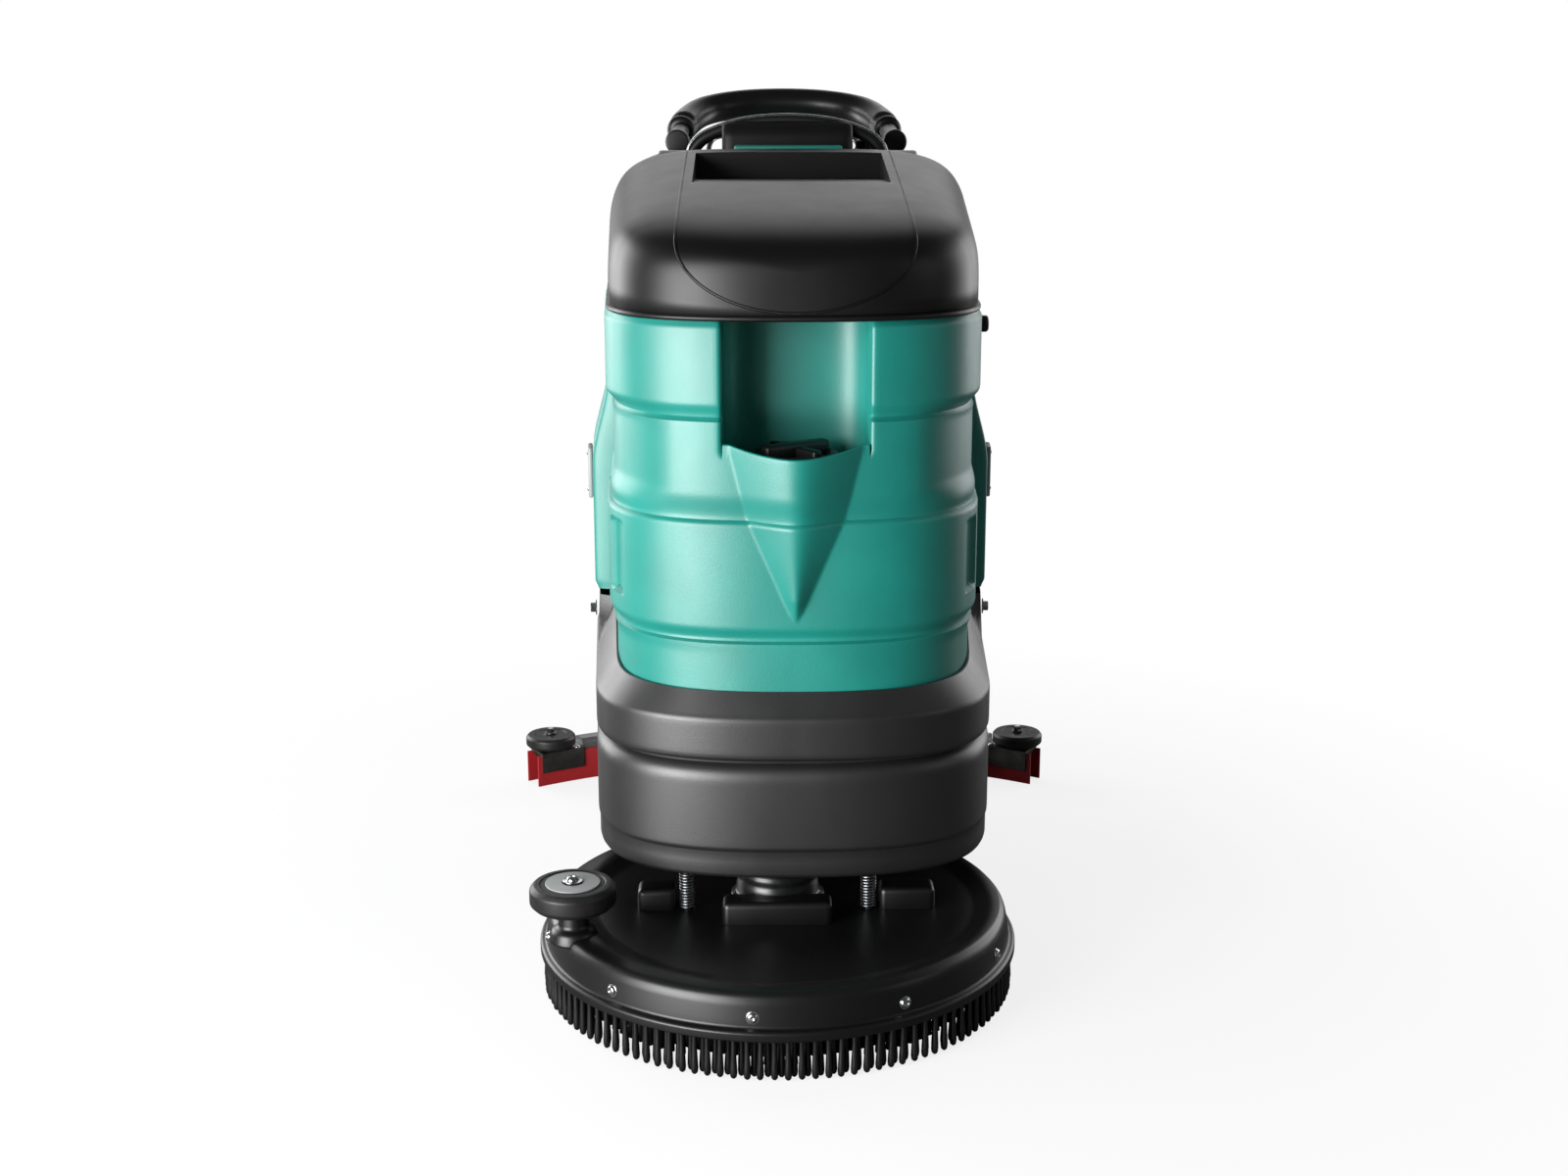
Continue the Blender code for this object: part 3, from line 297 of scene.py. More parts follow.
def bolt_head(centre, axis, radius, height, washer=0.0):
    """Pan head with a cross-slot dimple: a turned profile that dips at its middle."""
    profile = [(0, height * 0.55), (radius * 0.28, height * 0.6), (radius * 0.36, height),
               (radius * 0.75, height * 0.85), (radius, height * 0.35), (radius, 0)]
    if washer:
        profile += [(washer, 0), (washer, -0.0008)]
    profile.append((0, -0.0008))
    return lathed(profile, radius * 0.1, centre, axis, 20)


def hex_head(centre, axis, across, height, washer):
    """Hexagon head on a round washer: radius across / cos of the angle from the flat."""
    steps = 36
    angle = 2 * pi * np.arange(steps) / steps
    flat = np.mod(angle, pi / 3) - pi / 6
    hexagon = across / 2 / np.cos(flat)
    # radius added, share of the hexagon in it, height
    rows = [(0.0, 1, -0.0006), (washer, 0, -0.0006), (washer, 0, 0.0008), (0.0, 1, 0.0008),
            (0.0, 1, height * 0.9), (-0.08 * across, 1, height),
            (-0.45 * across, 1, height * 0.93)]
    local = [np.stack([(r + hexagon * h) * np.cos(angle), (r + hexagon * h) * np.sin(angle),
                       np.full(steps, z)], -1) for r, h, z in rows]
    return skin(np.array(local) @ facing(axis) + np.asarray(centre))


# ---------------------------------------------------------------- finishes

def linear(code):
    """An sRGB hex colour as linear red, green, blue and alpha."""
    values = np.array([int(code[i:i + 2], 16) for i in (1, 3, 5)]) / 255
    low, high = values / 12.92, ((values + 0.055) / 1.055) ** 2.4
    return (*np.where(values <= 0.04045, low, high).tolist(), 1.0)


def add_node(tree, kind, settings=None, links=None):
    """Add one node: settings fill its properties or inputs, links feed its inputs."""
    made = tree.nodes.new(kind)
    for key, value in (settings or {}).items():
        if isinstance(key, int) or key in made.inputs:
            made.inputs[key].default_value = value
        else:
            setattr(made, key, value)
    for key, socket in (links or {}).items():
        tree.links.new(socket, made.inputs[key])
    return made


def start_finish(name, **values):
    """A Principled material with constant sockets set, and its object coordinates."""
    made = bpy.data.materials.new(name)
    made.use_nodes = True
    tree = made.node_tree
    shader = tree.nodes["Principled BSDF"]
    for key, value in values.items():
        shader.inputs[key.replace("_", " ")].default_value = value
    place = add_node(tree, "ShaderNodeTexCoord").outputs["Object"]
    return made, tree, shader, place


def span(low, high, low_out, high_out):
    """Settings that map values evenly from one range to another."""
    return {"From Min": low, "From Max": high, "To Min": low_out, "To Max": high_out}


def pattern(tree, place, size_mm, stretch=(1, 1, 1), detail=2.0, rough=0.5, onto=None):
    """Noise with features about size_mm across, drawn out by the stretch, mapped by a span."""
    if stretch != (1, 1, 1):
        place = add_node(tree, "ShaderNodeMapping", {"Scale": stretch},
                         {"Vector": place}).outputs["Vector"]
    value = add_node(tree, "ShaderNodeTexNoise",
                     {"Scale": 1000 / size_mm, "Detail": detail, "Roughness": rough},
                     {"Vector": place}).outputs["Fac"]
    if onto is None:
        return value
    return add_node(tree, "ShaderNodeMapRange", onto, {"Value": value}).outputs["Result"]


def dress(tree, shader, tones, share, gloss, height, strength, depth_mm):
    """Mix two hex tones by the share, set the gloss, and raise the relief to its depth."""
    colour = add_node(tree, "ShaderNodeMix", {
        "data_type": "RGBA", 6: linear(tones[0]), 7: linear(tones[1])}, {0: share})
    relief = add_node(tree, "ShaderNodeBump", {"Strength": strength, "Distance": depth_mm / 1000},
                      {"Height": height})
    tree.links.new(colour.outputs[2], shader.inputs["Base Color"])
    tree.links.new(gloss, shader.inputs["Roughness"])
    tree.links.new(relief.outputs["Normal"], shader.inputs["Normal"])


def moulded(name, tones, roughness, grain_mm, depth_mm, specular=0.5, cloud_mm=90.0):
    """Moulded plastic: cloudy colour, uneven gloss, and the fine pebble of the mould's wall."""
    made, tree, shader, place = start_finish(name, IOR=1.5, Specular_IOR_Level=specular)
    dress(tree, shader, tones,
          pattern(tree, place, cloud_mm, detail=3.0, onto=span(0.3, 0.7, 0.0, 1.0)),
          pattern(tree, place, cloud_mm * 0.4, (1, 1, 0.4), 4.0, 0.6,
                  span(0.3, 0.7, roughness * 0.96, roughness * 1.04)),
          pattern(tree, place, grain_mm, detail=1.0), 0.5, depth_mm)
    return made


def rubber(name, tones, roughness, grain_mm, depth_mm):
    """Cured rubber: matt, lightly speckled with bloom, with a fine skin."""
    made, tree, shader, place = start_finish(name, IOR=1.52, Specular_IOR_Level=0.4)
    bloom = {"size_mm": 14.0, "detail": 5.0, "rough": 0.7}
    dress(tree, shader, tones,
          pattern(tree, place, **bloom, onto=span(0.42, 0.68, 0.0, 1.0)),
          pattern(tree, place, **bloom, onto=span(0.3, 0.7, roughness, roughness * 0.85)),
          pattern(tree, place, grain_mm), 0.6, depth_mm)
    return made


def metal(name, tones, roughness, line_mm, stretch, depth_mm, spot_mm=25.0):
    """Worked metal: drawn lines or casting grain over slightly uneven tone and gloss."""
    made, tree, shader, place = start_finish(name, Metallic=1.0)
    line = (tree, place, line_mm, stretch, 3.0, 0.6)
    dress(tree, shader, tones,
          pattern(tree, place, spot_mm, detail=4.0, rough=0.65, onto=span(0.35, 0.65, 0.0, 1.0)),
          pattern(*line, span(0.3, 0.7, roughness * 0.75, roughness * 1.25)),
          pattern(*line), 0.35, depth_mm)
    return made


def painted(name, tones, roughness, peel_mm, depth_mm):
    """Enamel or powder paint: a smooth colour with the faint dimples of orange peel."""
    made, tree, shader, place = start_finish(name, IOR=1.5, Coat_Weight=0.3, Coat_Roughness=0.2)
    worn = {"size_mm": 30.0, "detail": 6.0, "rough": 0.7}
    dress(tree, shader, tones,
          pattern(tree, place, **worn, onto=span(0.55, 0.72, 0.0, 1.0)),
          pattern(tree, place, **worn, onto=span(0.3, 0.7, roughness, roughness * 1.3)),
          pattern(tree, place, peel_mm, detail=1.0), 0.4, depth_mm)
    return made


def fibre(name, tones, roughness, width_mm, depth_mm):
    """Bundled filament: fine upright lines, each a little lighter or darker."""
    made, tree, shader, place = start_finish(name, IOR=1.53)
    line = (tree, place, width_mm, (1, 1, 0.04), 2.0, 0.5)
    dress(tree, shader, tones, pattern(*line, span(0.35, 0.65, 0, 1)),
          pattern(*line, span(0.3, 0.7, roughness, roughness * 1.3)),
          pattern(*line), 0.7, depth_mm)
    return made


def woven(name, tones):
    """Nylon gauze: a cell pattern of 2 mm in colour, gloss and relief."""
    made, tree, shader, place = start_finish(name, IOR=1.53)
    cells = add_node(tree, "ShaderNodeTexVoronoi", {"Scale": 500.0, "feature": "F1"},
                     {"Vector": place}).outputs["Distance"]
    gloss = add_node(tree, "ShaderNodeMapRange", span(0, 1, 0.5, 0.7), {"Value": cells})
    dress(tree, shader, tones, cells, gloss.outputs["Result"], cells, 0.6, 0.2)
    return made


def urethane(name, tones):
    """Cast urethane: waxy, slightly see-through, so light runs into its edges."""
    made, tree, shader, place = start_finish(
        name, IOR=1.49, Subsurface_Weight=0.15, Subsurface_Scale=0.004, Specular_IOR_Level=0.5)
    cloud = (tree, place, 25.0, (1, 1, 0.5), 4.0, 0.5)
    dress(tree, shader, tones, pattern(*cloud), pattern(*cloud, span(0.3, 0.7, 0.28, 0.42)),
          pattern(tree, place, 1.5), 0.3, 0.03)
    return made


def celled_glass(name, tones):
    """Dark glass over a display: a faint grid of cells under a clear polished coat."""
    made, tree, shader, place = start_finish(name, IOR=1.52, Coat_Weight=1.0,
                                             Coat_Roughness=0.04)
    cells = add_node(tree, "ShaderNodeTexBrick", {
        "Scale": 110.0, "Color1": linear(tones[0]), "Color2": linear(tones[1]),
        "Mortar": linear(tones[2]), "Mortar Size": 0.03}, {"Vector": place})
    tree.links.new(cells.outputs["Color"], shader.inputs["Base Color"])
    tree.links.new(pattern(tree, place, 4.0, onto=span(0.3, 0.7, 0.08, 0.16)),
                   shader.inputs["Roughness"])
    return made


# Finish: its family, the material's name, its tones, then the family's own numbers.
# A tone is a hex colour or the name of one that the user can change.
FINISHES = {
    # Satin skin with a fine stipple that scatters highlights into a soft sheen
    "rotomoulded_polyethylene": (moulded, "teal_rotomoulded_polyethylene",
                                 ("tank", "tank_deep"), 0.46, 2.0, 0.26, 0.85),
    # Charcoal skin with a coarse mould grain: broad dull highlights
    "textured_polyethylene": (moulded, "charcoal_textured_polyethylene",
                              ("shell", "shell_deep"), 0.46, 1.8, 0.18, 1.0),
    # Near-black injection moulding: smooth, so grazing light lifts it to grey
    "smooth_abs": (moulded, "black_smooth_abs", ("#090909", "#0b0b0b"), 0.42, 1.2, 0.010, 0.42),
    # The fine etched grain of handles and knobs: a soft black
    "textured_abs": (moulded, "black_textured_abs", ("#0b0b0b", "#101010"),
                     0.42, 1.0, 0.03, 0.5, 30.0),
    # Smooth satin over slow waves of a thick moulding
    "deck_polyamide": (moulded, "black_deck_polyamide", ("#060606", "#0a0a0a"),
                       0.38, 1.6, 0.02, 0.5, 60.0),
    # Brush board, matt from its machined mould
    "pad_polypropylene": (moulded, "teal_polypropylene_board", ("#0f6f68", "#0c625c"),
                          0.5, 1.5, 0.05),
    # Dark grey battery case with a dusty look
    "battery_polypropylene": (moulded, "grey_battery_polypropylene", ("#1a1b1d", "#232426"),
                              0.5, 1.4, 0.06),
    # Pale grey plates let into the tank's sides: smooth and even
    "plate_acrylic": (moulded, "grey_satin_acrylic", ("#8f9292", "#a0a3a3"), 0.35, 1.4, 0.02),
    # Grey gauze of the strainer basket
    "strainer_nylon": (woven, "grey_strainer_nylon", ("#2f3234", "#7c8286")),
    # Foam sleeve: its closed pores are too small to see one by one, so it looks soft and matt
    "grip_foam": (rubber, "black_nitrile_grip", ("#101010", "#171717"), 0.40, 0.9, 0.03),
    # Dark grey non-marking tyre with a dusty bloom
    "tyre_rubber": (rubber, "grey_tyre_rubber", ("#1f1f20", "#303031"), 0.78, 1.2, 0.12),
    # Bumper rubber: a fine turned skin, slightly rubbed
    "roller_rubber": (rubber, "charcoal_roller_rubber", ("#141414", "#202020"), 0.5, 0.8, 0.05),
    # Red squeegee blades and lever ball
    "red_polyurethane": (urethane, "red_cast_polyurethane", ("blade", "blade_deep")),
    # Black frame steel with orange peel and a few rubbed places
    "powder_coated_steel": (painted, "black_powder_coated_steel", ("#0d0d0e", "#19191a"),
                            0.4, 1.8, 0.04),
    # Black baked enamel of the motor cans
    "motor_enamel": (painted, "black_motor_enamel", ("#0c0d0e", "#151617"), 0.3, 2.5, 0.03),
    # Zinc plate: cool grey with a soft cloudy spangle
    "zinc_plated_steel": (metal, "zinc_plated_steel", ("#8d9093", "#a6a9ab"),
                          0.34, 3.0, (1, 1, 1), 0.02, 9.0),
    # Bright, with brushed lines drawn lengthwise
    "stainless_steel": (metal, "brushed_stainless_steel", ("#a9abad", "#bcbebf"),
                        0.26, 0.8, (0.06, 1, 1), 0.01),
    # Polished fasteners: small and bright, with turning marks
    "bright_steel": (metal, "bright_fastener_steel", ("#b5b6b7", "#cfd0d1"),
                     0.18, 1.0, (1, 1, 0.2), 0.008),
    # Dull bracket steel, dark because it mirrors the floor's shade
    "dark_galvanised_steel": (metal, "dull_galvanised_steel", ("#5c5b58", "#72716d"),
                              0.4, 1.6, (0.2, 1, 1), 0.02),
    # Sand casting: pale, coarse-grained and soft in its shine
    "cast_aluminium": (metal, "cast_aluminium", ("#8b8c8d", "#9d9e9f"),
                       0.5, 1.6, (1, 1, 1), 0.10),
    # Glossy black rubbery skirt fingers
    "skirt_filament": (fibre, "black_skirt_filament", ("#070707", "#0e0e0e"), 0.36, 1.2, 0.06),
    # Dark grey nylon scrubbing bristle
    "nylon_bristle": (fibre, "grey_nylon_bristle", ("#1d1e20", "#34363a"), 0.5, 0.8, 0.15),
    # Window over the display
    "display_glass": (celled_glass, "dark_display_glass", ("#0c2524", "#0f2c2a", "#061211")),
}
finishes_made = {}


def finish_named(finish):
    """The material of that finish, made once."""
    if finish not in finishes_made:
        family, name, tones, *numbers = FINISHES[finish]
        colours = bpy.context.scene.scrubber_colours
        tones = [getattr(colours, tone, tone) for tone in tones]
        finishes_made[finish] = family(name, tones, *numbers)
    return finishes_made[finish]


# ---------------------------------------------------------------- tanks

def notch(z, top, foot, lip, depth):
    """Band groove: the wall leans in from top to foot, then steps out below over the lip."""
    return depth * np.where(z > foot, smooth((top - z) / (top - foot)),
                            1 - smooth((foot - z) / lip))


def window(value, low, high, edge):
    """One from low to high, easing to zero over the edge on both sides."""
    return smooth((value - low) / edge + 1) * smooth((high - value) / edge + 1)


def nose_shares(inner, half, count):
    """Columns over the nose as shares of the half width: fixed distances, then even angles."""
    share = inner[None] / half[:, None]
    start = np.arcsin(share[:, -1:] ** (PLAN_POWER / 2))
    angle = start + (pi / 2 - start) * np.linspace(0, 1, count + 1)[None, 1:]
    one_side = np.hstack([share, np.sin(angle) ** (2 / PLAN_POWER)])
    return np.hstack([-one_side[:, :0:-1], one_side])


def plan(half, front, rear, nose, corner, share, sides=40):
    """Outline from above, one per row: superellipse nose, sides, round rear corners, flare."""
    half, front, rear = (np.broadcast_to(np.asarray(v, float), (len(share),))[:, None]
                         for v in (half, front, rear))
    start = front + nose
    depth = np.clip(1 - np.abs(share) ** PLAN_POWER, 0, 1) ** (1 / PLAN_POWER)
    k = np.linspace(0, 1, sides + 1)[None, 1:]
    a = np.linspace(0, pi / 2, 9)[None, 1:]
    side_x, side_y = half + 0 * k, start + (rear - corner - start) * k
    corner_x = half - corner + corner * np.cos(a)
    corner_y = rear - corner + corner * np.sin(a)
    x = np.hstack([half * share, side_x, corner_x, -corner_x[:, ::-1], -side_x[:, ::-1]])
    y = np.hstack([start - nose * depth, side_y, corner_y, corner_y[:, ::-1], side_y[:, ::-1]])
    return x * flare(y), y


def draw_in(x, y, depth):
    """Move an outline inwards by the depth, square to its own direction."""
    along_x = np.roll(x, -1, 1) - np.roll(x, 1, 1)
    along_y = np.roll(y, -1, 1) - np.roll(y, 1, 1)
    length = np.hypot(along_x, along_y)
    return x - depth * along_y / length, y + depth * along_x / length


TOP_GROOVE = (0.691, 0.675, 0.005)        # top, foot and lip of the groove round both tanks


def band_grooves(z, depth):
    """The three grooves round the solution tank, as depths at a height."""
    return (notch(z, *TOP_GROOVE, depth) + notch(z, 0.592, 0.562, 0.005, depth * 0.9)
            + notch(z, 0.440, 0.424, 0.004, depth))


POUCH_HALF = 0.0735                       # half width of the pouch at its rim


def front_tank_skin(sizes):
    """Wall of the solution tank as one grid of columns round it and rows up it.

    Below the rim the rows climb the wall and the pouch, whose bow runs out in two straight
    flanks from a round ridge. Above it the columns inside the alcove fold over the pouch's
    edge, drop to the floor, run back and climb the alcove's back wall.
    """
    inner = np.concatenate([np.linspace(0, POUCH_HALF, 36), (
        0.0775, 0.0800, 0.0806, 0.0812, 0.0822, 0.0835, 0.0850, 0.0870, 0.0920, 0.1000)])
    low, high = 116, 60                   # rows below and above the pouch's rim
    rim = 0.634
    k = np.concatenate([np.linspace(0, 1, low), np.ones(high)])
    w = np.concatenate([np.zeros(low), np.linspace(0, 1, high + 1)[1:]])
    height = TANK_FOOT + (rim - TANK_FOOT) * k + (TANK_RIM - rim) * w
    half = BODY_HALF - TANK_INSET - 0.0085 * smooth((0.436 - height) / 0.03)
    share = nose_shares(inner, half, 46)
    x, y = plan(half, TANK_FRONT, TANK_SPLIT, NOSE, 0.012, share, 34)
    columns = x.shape[1]
    z = np.repeat(height[:, None], columns, 1)
    inside = (np.abs(x) < ALCOVE_HALF - 0.0001) & (y < TANK_FRONT + 0.02)
    edge_rise = 0.011 * np.clip(np.abs(x) / POUCH_HALF, 0, 1) ** 2
    z += np.where(inside, edge_rise * smooth((z - 0.56) / 0.07), 0) * (w[:, None] == 0)
    side = smooth((np.abs(x) / (half[:, None] * flare(y)) - 0.62) / 0.3)
    depth = band_grooves(z, sizes.groove_depth)
    depth = depth + side * 0.0085 * window(z, 0.600, 0.664, 0.030)
    depth += side * 0.0085 * window(z, 0.463, 0.540, 0.005) * window(y, -0.268, -0.238, 0.006)
    depth += 0.004 * smooth((z - TANK_RIM + 0.008) / 0.008)
    depth = np.where(inside & (w[:, None] > 0), 0, depth)
    x, y = draw_in(x, y, depth)
    reach = np.interp(z, (0.447, 0.472, 0.564, 0.632), (0, 0.011, 0.027, sizes.pouch_reach))
    wide = np.interp(z, (0.447, 0.455, 0.564, 0.640), (0.002, 0.007, 0.055, POUCH_HALF))
    across = np.sqrt((x / wide) ** 2 + 0.09)
    bow = np.clip(1 - (across - 0.3) / (1.0440 - 0.3), 0, 1)
    front = y - np.where(inside | (z < rim), reach * bow, 0)
    corner = np.clip((0.0870 - np.abs(x)) / 0.0060, 0, 1)
    fillet = 0.006 * (1 - np.sqrt(1 - corner ** 2)) * smooth((z - rim + 0.004) / 0.010)
    y = np.where(inside, front, np.where(z < rim, front, y) + np.where(y < -0.3, fillet, 0))
    back = ALCOVE_BACK - 0.022 * (np.abs(x) / ALCOVE_HALF) ** 6
    keys = (0, 0.03, 0.06, 0.10, 0.28, 0.33, 1)   # share of the rows at each turn of the fold
    lip_y, lip_z = y[low - 1], z[low - 1]
    ys = np.stack([lip_y, lip_y + 0.0015, lip_y + 0.0045, lip_y + 0.006, back[-1] - 0.012,
                   back[-1], back[-1]])
    level = np.ones_like(lip_z)
    zs = np.stack([lip_z, lip_z + 0.0015, lip_z, level * (ALCOVE_FLOOR + 0.002),
                   level * ALCOVE_FLOOR, level * (ALCOVE_FLOOR + 0.012), level * TANK_RIM])
    place = np.clip(np.searchsorted(keys, w, side="right") - 1, 0, len(keys) - 2)
    t = ((w - np.array(keys)[place]) / np.diff(keys)[place])[:, None]
    folded = inside & (w[:, None] > 0)
    y = np.where(folded, ys[place] * (1 - t) + ys[place + 1] * t, y)
    z = np.where(folded, zs[place] * (1 - t) + zs[place + 1] * t, z)
    points = np.stack([x, y, z], -1)
    roof = points[-1].copy()
    roof[:, 1] = np.maximum(roof[:, 1], ALCOVE_BACK + 0.012)
    roof[:, 0] *= 0.999
    centre = roof * (0.2, 0.2, 1) + (0, -0.11, 0)
    return skin(np.concatenate([points, roof[None], centre[None]]))


def rear_tank_skin(sizes):
    """Recovery tank as one grid: bulged wall up, rim across, and the basin's wall down."""
    height = np.concatenate([[TANK_FOOT, 0.4095, 0.4105], np.linspace(0.414, TANK_RIM, 130)])
    tank_top = BODY_HALF - TANK_INSET
    half = np.where(height < 0.41, BODY_HALF - 0.020,
                    BODY_HALF - 0.004 * (1 - smooth((height - 0.410) / 0.012))
                    - (BODY_HALF - tank_top) * smooth((height - 0.570) / 0.110))
    inner = np.linspace(0, 0.15, 4)
    share = nose_shares(inner, half, 14)
    x, y = plan(half, TANK_SPLIT + 0.0006, BODY_REAR - (BODY_HALF - half), 0.014, 0.045, share, 50)
    depth = notch(height, *TOP_GROOVE, sizes.groove_depth * 0.8)[:, None]
    depth = depth + 0.003 * smooth((height[:, None] - TANK_RIM + 0.006) / 0.006)
    side = smooth((y - 0.01) / 0.02) * smooth((0.26 - y) / 0.02)
    depth = depth + 0.004 * side * window(height, 0.455, 0.500, 0.006)[:, None]
    x, y = draw_in(x, y, depth)
    z = np.repeat(height[:, None], x.shape[1], 1)
    wall = np.stack([x, y, z], -1)
    levels = np.array((TANK_RIM, TANK_RIM - 0.002, 0.60, 0.432, 0.430))
    room = np.array((0.0, 0.0015, 0.0015, 0.004, 0.012))
    half = tank_top - TANK_RIM_INSET - room
    share = nose_shares(inner, half, 14)
    x, y = plan(half, TANK_SPLIT + 0.0166 + room, 0.102 - room, 0.02, 0.02, share, 50)
    basin = np.stack([x, y, np.repeat(levels[:, None], x.shape[1], 1)], -1)
    return skin(np.concatenate([wall, basin]))


# ---------------------------------------------------------------- lid

DOME_POWER = 5.0                          # squareness of the lid's cross-section
CROWN_SLOPE = 0.164
TRAY_HALF, TRAY_FRONT, TRAY_BACK, TRAY_FLOOR = 0.118, -0.090, LID_BACK - 0.0217, 0.918


def lid_half(y):
    """Half width of the lid: the nose's superellipse, then the flare."""
    t = np.clip((y - LID_FRONT) / NOSE, 0, 1)
    return LID_HALF * (1 - (1 - t) ** PLAN_POWER) ** (1 / PLAN_POWER) * flare(y)


def lid_crown(y):
    """Middle line: a straight slope to the nose, rounded down to the edge by a sixth power."""
    t = np.clip((LID_BACK - y) / (LID_BACK - NOSE_Y - 0.011), 0, 1)
    foot = LID_EDGE + 0.016
    top = LID_TOP - CROWN_SLOPE * np.maximum(LID_BACK - y, 0)
    return foot + (top - foot) * (1 - t ** 6) ** (1 / 6)


def lid_height(x, y):
    """Height of the lid over a point: a superellipse of the half width and the crown."""
    share = np.clip(np.abs(x) / np.maximum(lid_half(y), 1e-6), 0, 1)
    return LID_EDGE + (lid_crown(y) - LID_EDGE) * (1 - share ** DOME_POWER) ** (1 / DOME_POWER)


def dome(y, inner, count):
    """Rows across the lid: fixed distances inside, then even angles down to both edges."""
    half, crown = lid_half(y)[:, None], lid_crown(y)[:, None]
    far = smooth((y + 0.30) / 0.12)[:, None]
    reach = inner[-1]
    outer = far * reach / np.maximum(half, 0.15) + (1 - far) * 0.62
    share_in = outer * inner[None] / reach
    start = np.arccos(outer ** (DOME_POWER / 2))
    angle = start * (1 - np.linspace(0, 1, count + 1)[None, 1:] ** 1.3)
    share_out = np.cos(angle) ** (2 / DOME_POWER)
    rise_in = (1 - share_in ** DOME_POWER) ** (1 / DOME_POWER)
    rise_out = np.sin(angle) ** (2 / DOME_POWER)
    share, rise = np.hstack([share_in, share_out]), np.hstack([rise_in, rise_out])
    x = half * np.hstack([-share[:, :0:-1], share])
    z = LID_EDGE + (crown - LID_EDGE) * np.hstack([rise[:, :0:-1], rise])
    return x, z


def lid_skin():
    """The domed lid with its tray sunk where the dome stands over the tray's floor."""
    nose = LID_FRONT + (-0.10 - LID_FRONT) * np.linspace(0, 1, 62) ** 2.2
    top = np.concatenate([(-0.0906, -0.0900), np.linspace(-0.084, 0.090, 18),
                          (TRAY_BACK, TRAY_BACK + 0.0006, 0.104, 0.111, LID_BACK)])
    y = np.concatenate([nose, top])
    inner = np.concatenate([np.linspace(0, TRAY_HALF, 26), (0.1186, 0.122, 0.127)])
    x, z = dome(y, inner, 40)
    y = np.repeat(y[:, None], x.shape[1], 1)
    sunk = (y >= TRAY_FRONT - 1e-6) & (y <= TRAY_BACK + 1e-6) & (np.abs(x) <= TRAY_HALF + 1e-4)
    z = np.where(sunk, np.minimum(z, TRAY_FLOOR), z)
    return skin(np.stack([x, y, z], -1), wrap_cols=False, caps=(False, False))


def lid_outline(count=120):
    """Lower edge of the lid from its left rear corner round the nose to the right."""
    a = np.linspace(-pi / 2, pi / 2, count)
    share = np.sign(a) * np.abs(np.sin(a)) ** (2 / PLAN_POWER)
    y = LID_FRONT + NOSE * (1 - np.abs(np.cos(a)) ** (2 / PLAN_POWER))
    side = np.linspace(LID_BACK, LID_FRONT + NOSE, 24)[:-1]
    y = np.concatenate([side, y, side[::-1]])
    share = np.concatenate([-np.ones(23), share, np.ones(23)])
    return LID_HALF * share * flare(y), y


def seam_path():
    """The lid panel's U: a half ellipse down the front, then straight back over the top."""
    a = np.linspace(-pi / 2, pi / 2, 80)
    half = 0.131
    x = half * np.sin(a)
    z = 0.868 - 0.078 * np.cos(a)
    near, far = np.full_like(x, LID_FRONT), np.full_like(x, 0.0)
    for _ in range(40):
        middle = (near + far) / 2
        low = lid_height(x, middle) < z
        near, far = np.where(low, middle, near), np.where(low, far, middle)
    side = np.linspace(LID_BACK - 0.004, far[0], 40)[:-1]
    x = np.concatenate([np.full(39, -half), x, np.full(39, half)])
    y = np.concatenate([side, far, side[::-1]])
    return np.stack([x, y, lid_height(x, y)], -1)


def tower_skin():
    """Raised rear of the tank behind the lid, flat where the console sits on it."""
    y = np.array((LID_BACK + 0.0008, 0.1240, 0.1254, 0.1258, 0.18, 0.24, 0.29, 0.305, 0.313,
                  0.318, 0.3215, 0.323))
    tuck = np.interp(y, (0.305, 0.313, 0.318, 0.3215, 0.323), (0, 0.0015, 0.004, 0.008, 0.013))
    inner = np.concatenate([np.linspace(0, 0.16, 8), (0.1684, 0.1690)])
    x, z = dome(y, inner, 30)
    x *= (1 - tuck / 0.23)[:, None]
    z = LID_EDGE + (z - LID_EDGE) * (1 - tuck / 0.17)[:, None]
    seat = (np.abs(x) < 0.1686) & (y[:, None] > 0.1256)
    z = np.where(seat, np.minimum(z, 0.9350), z)
    y = np.repeat(y[:, None], x.shape[1], 1)
    foot = np.stack([x[:, [0, -1]], y[:, [0, -1]], np.full_like(x[:, :2], 0.7700)], -1)
    points = np.stack([x, y, z], -1)
    return skin(np.concatenate([foot[:, :1], points, foot[:, 1:]], 1))


# ---------------------------------------------------------------- lower body

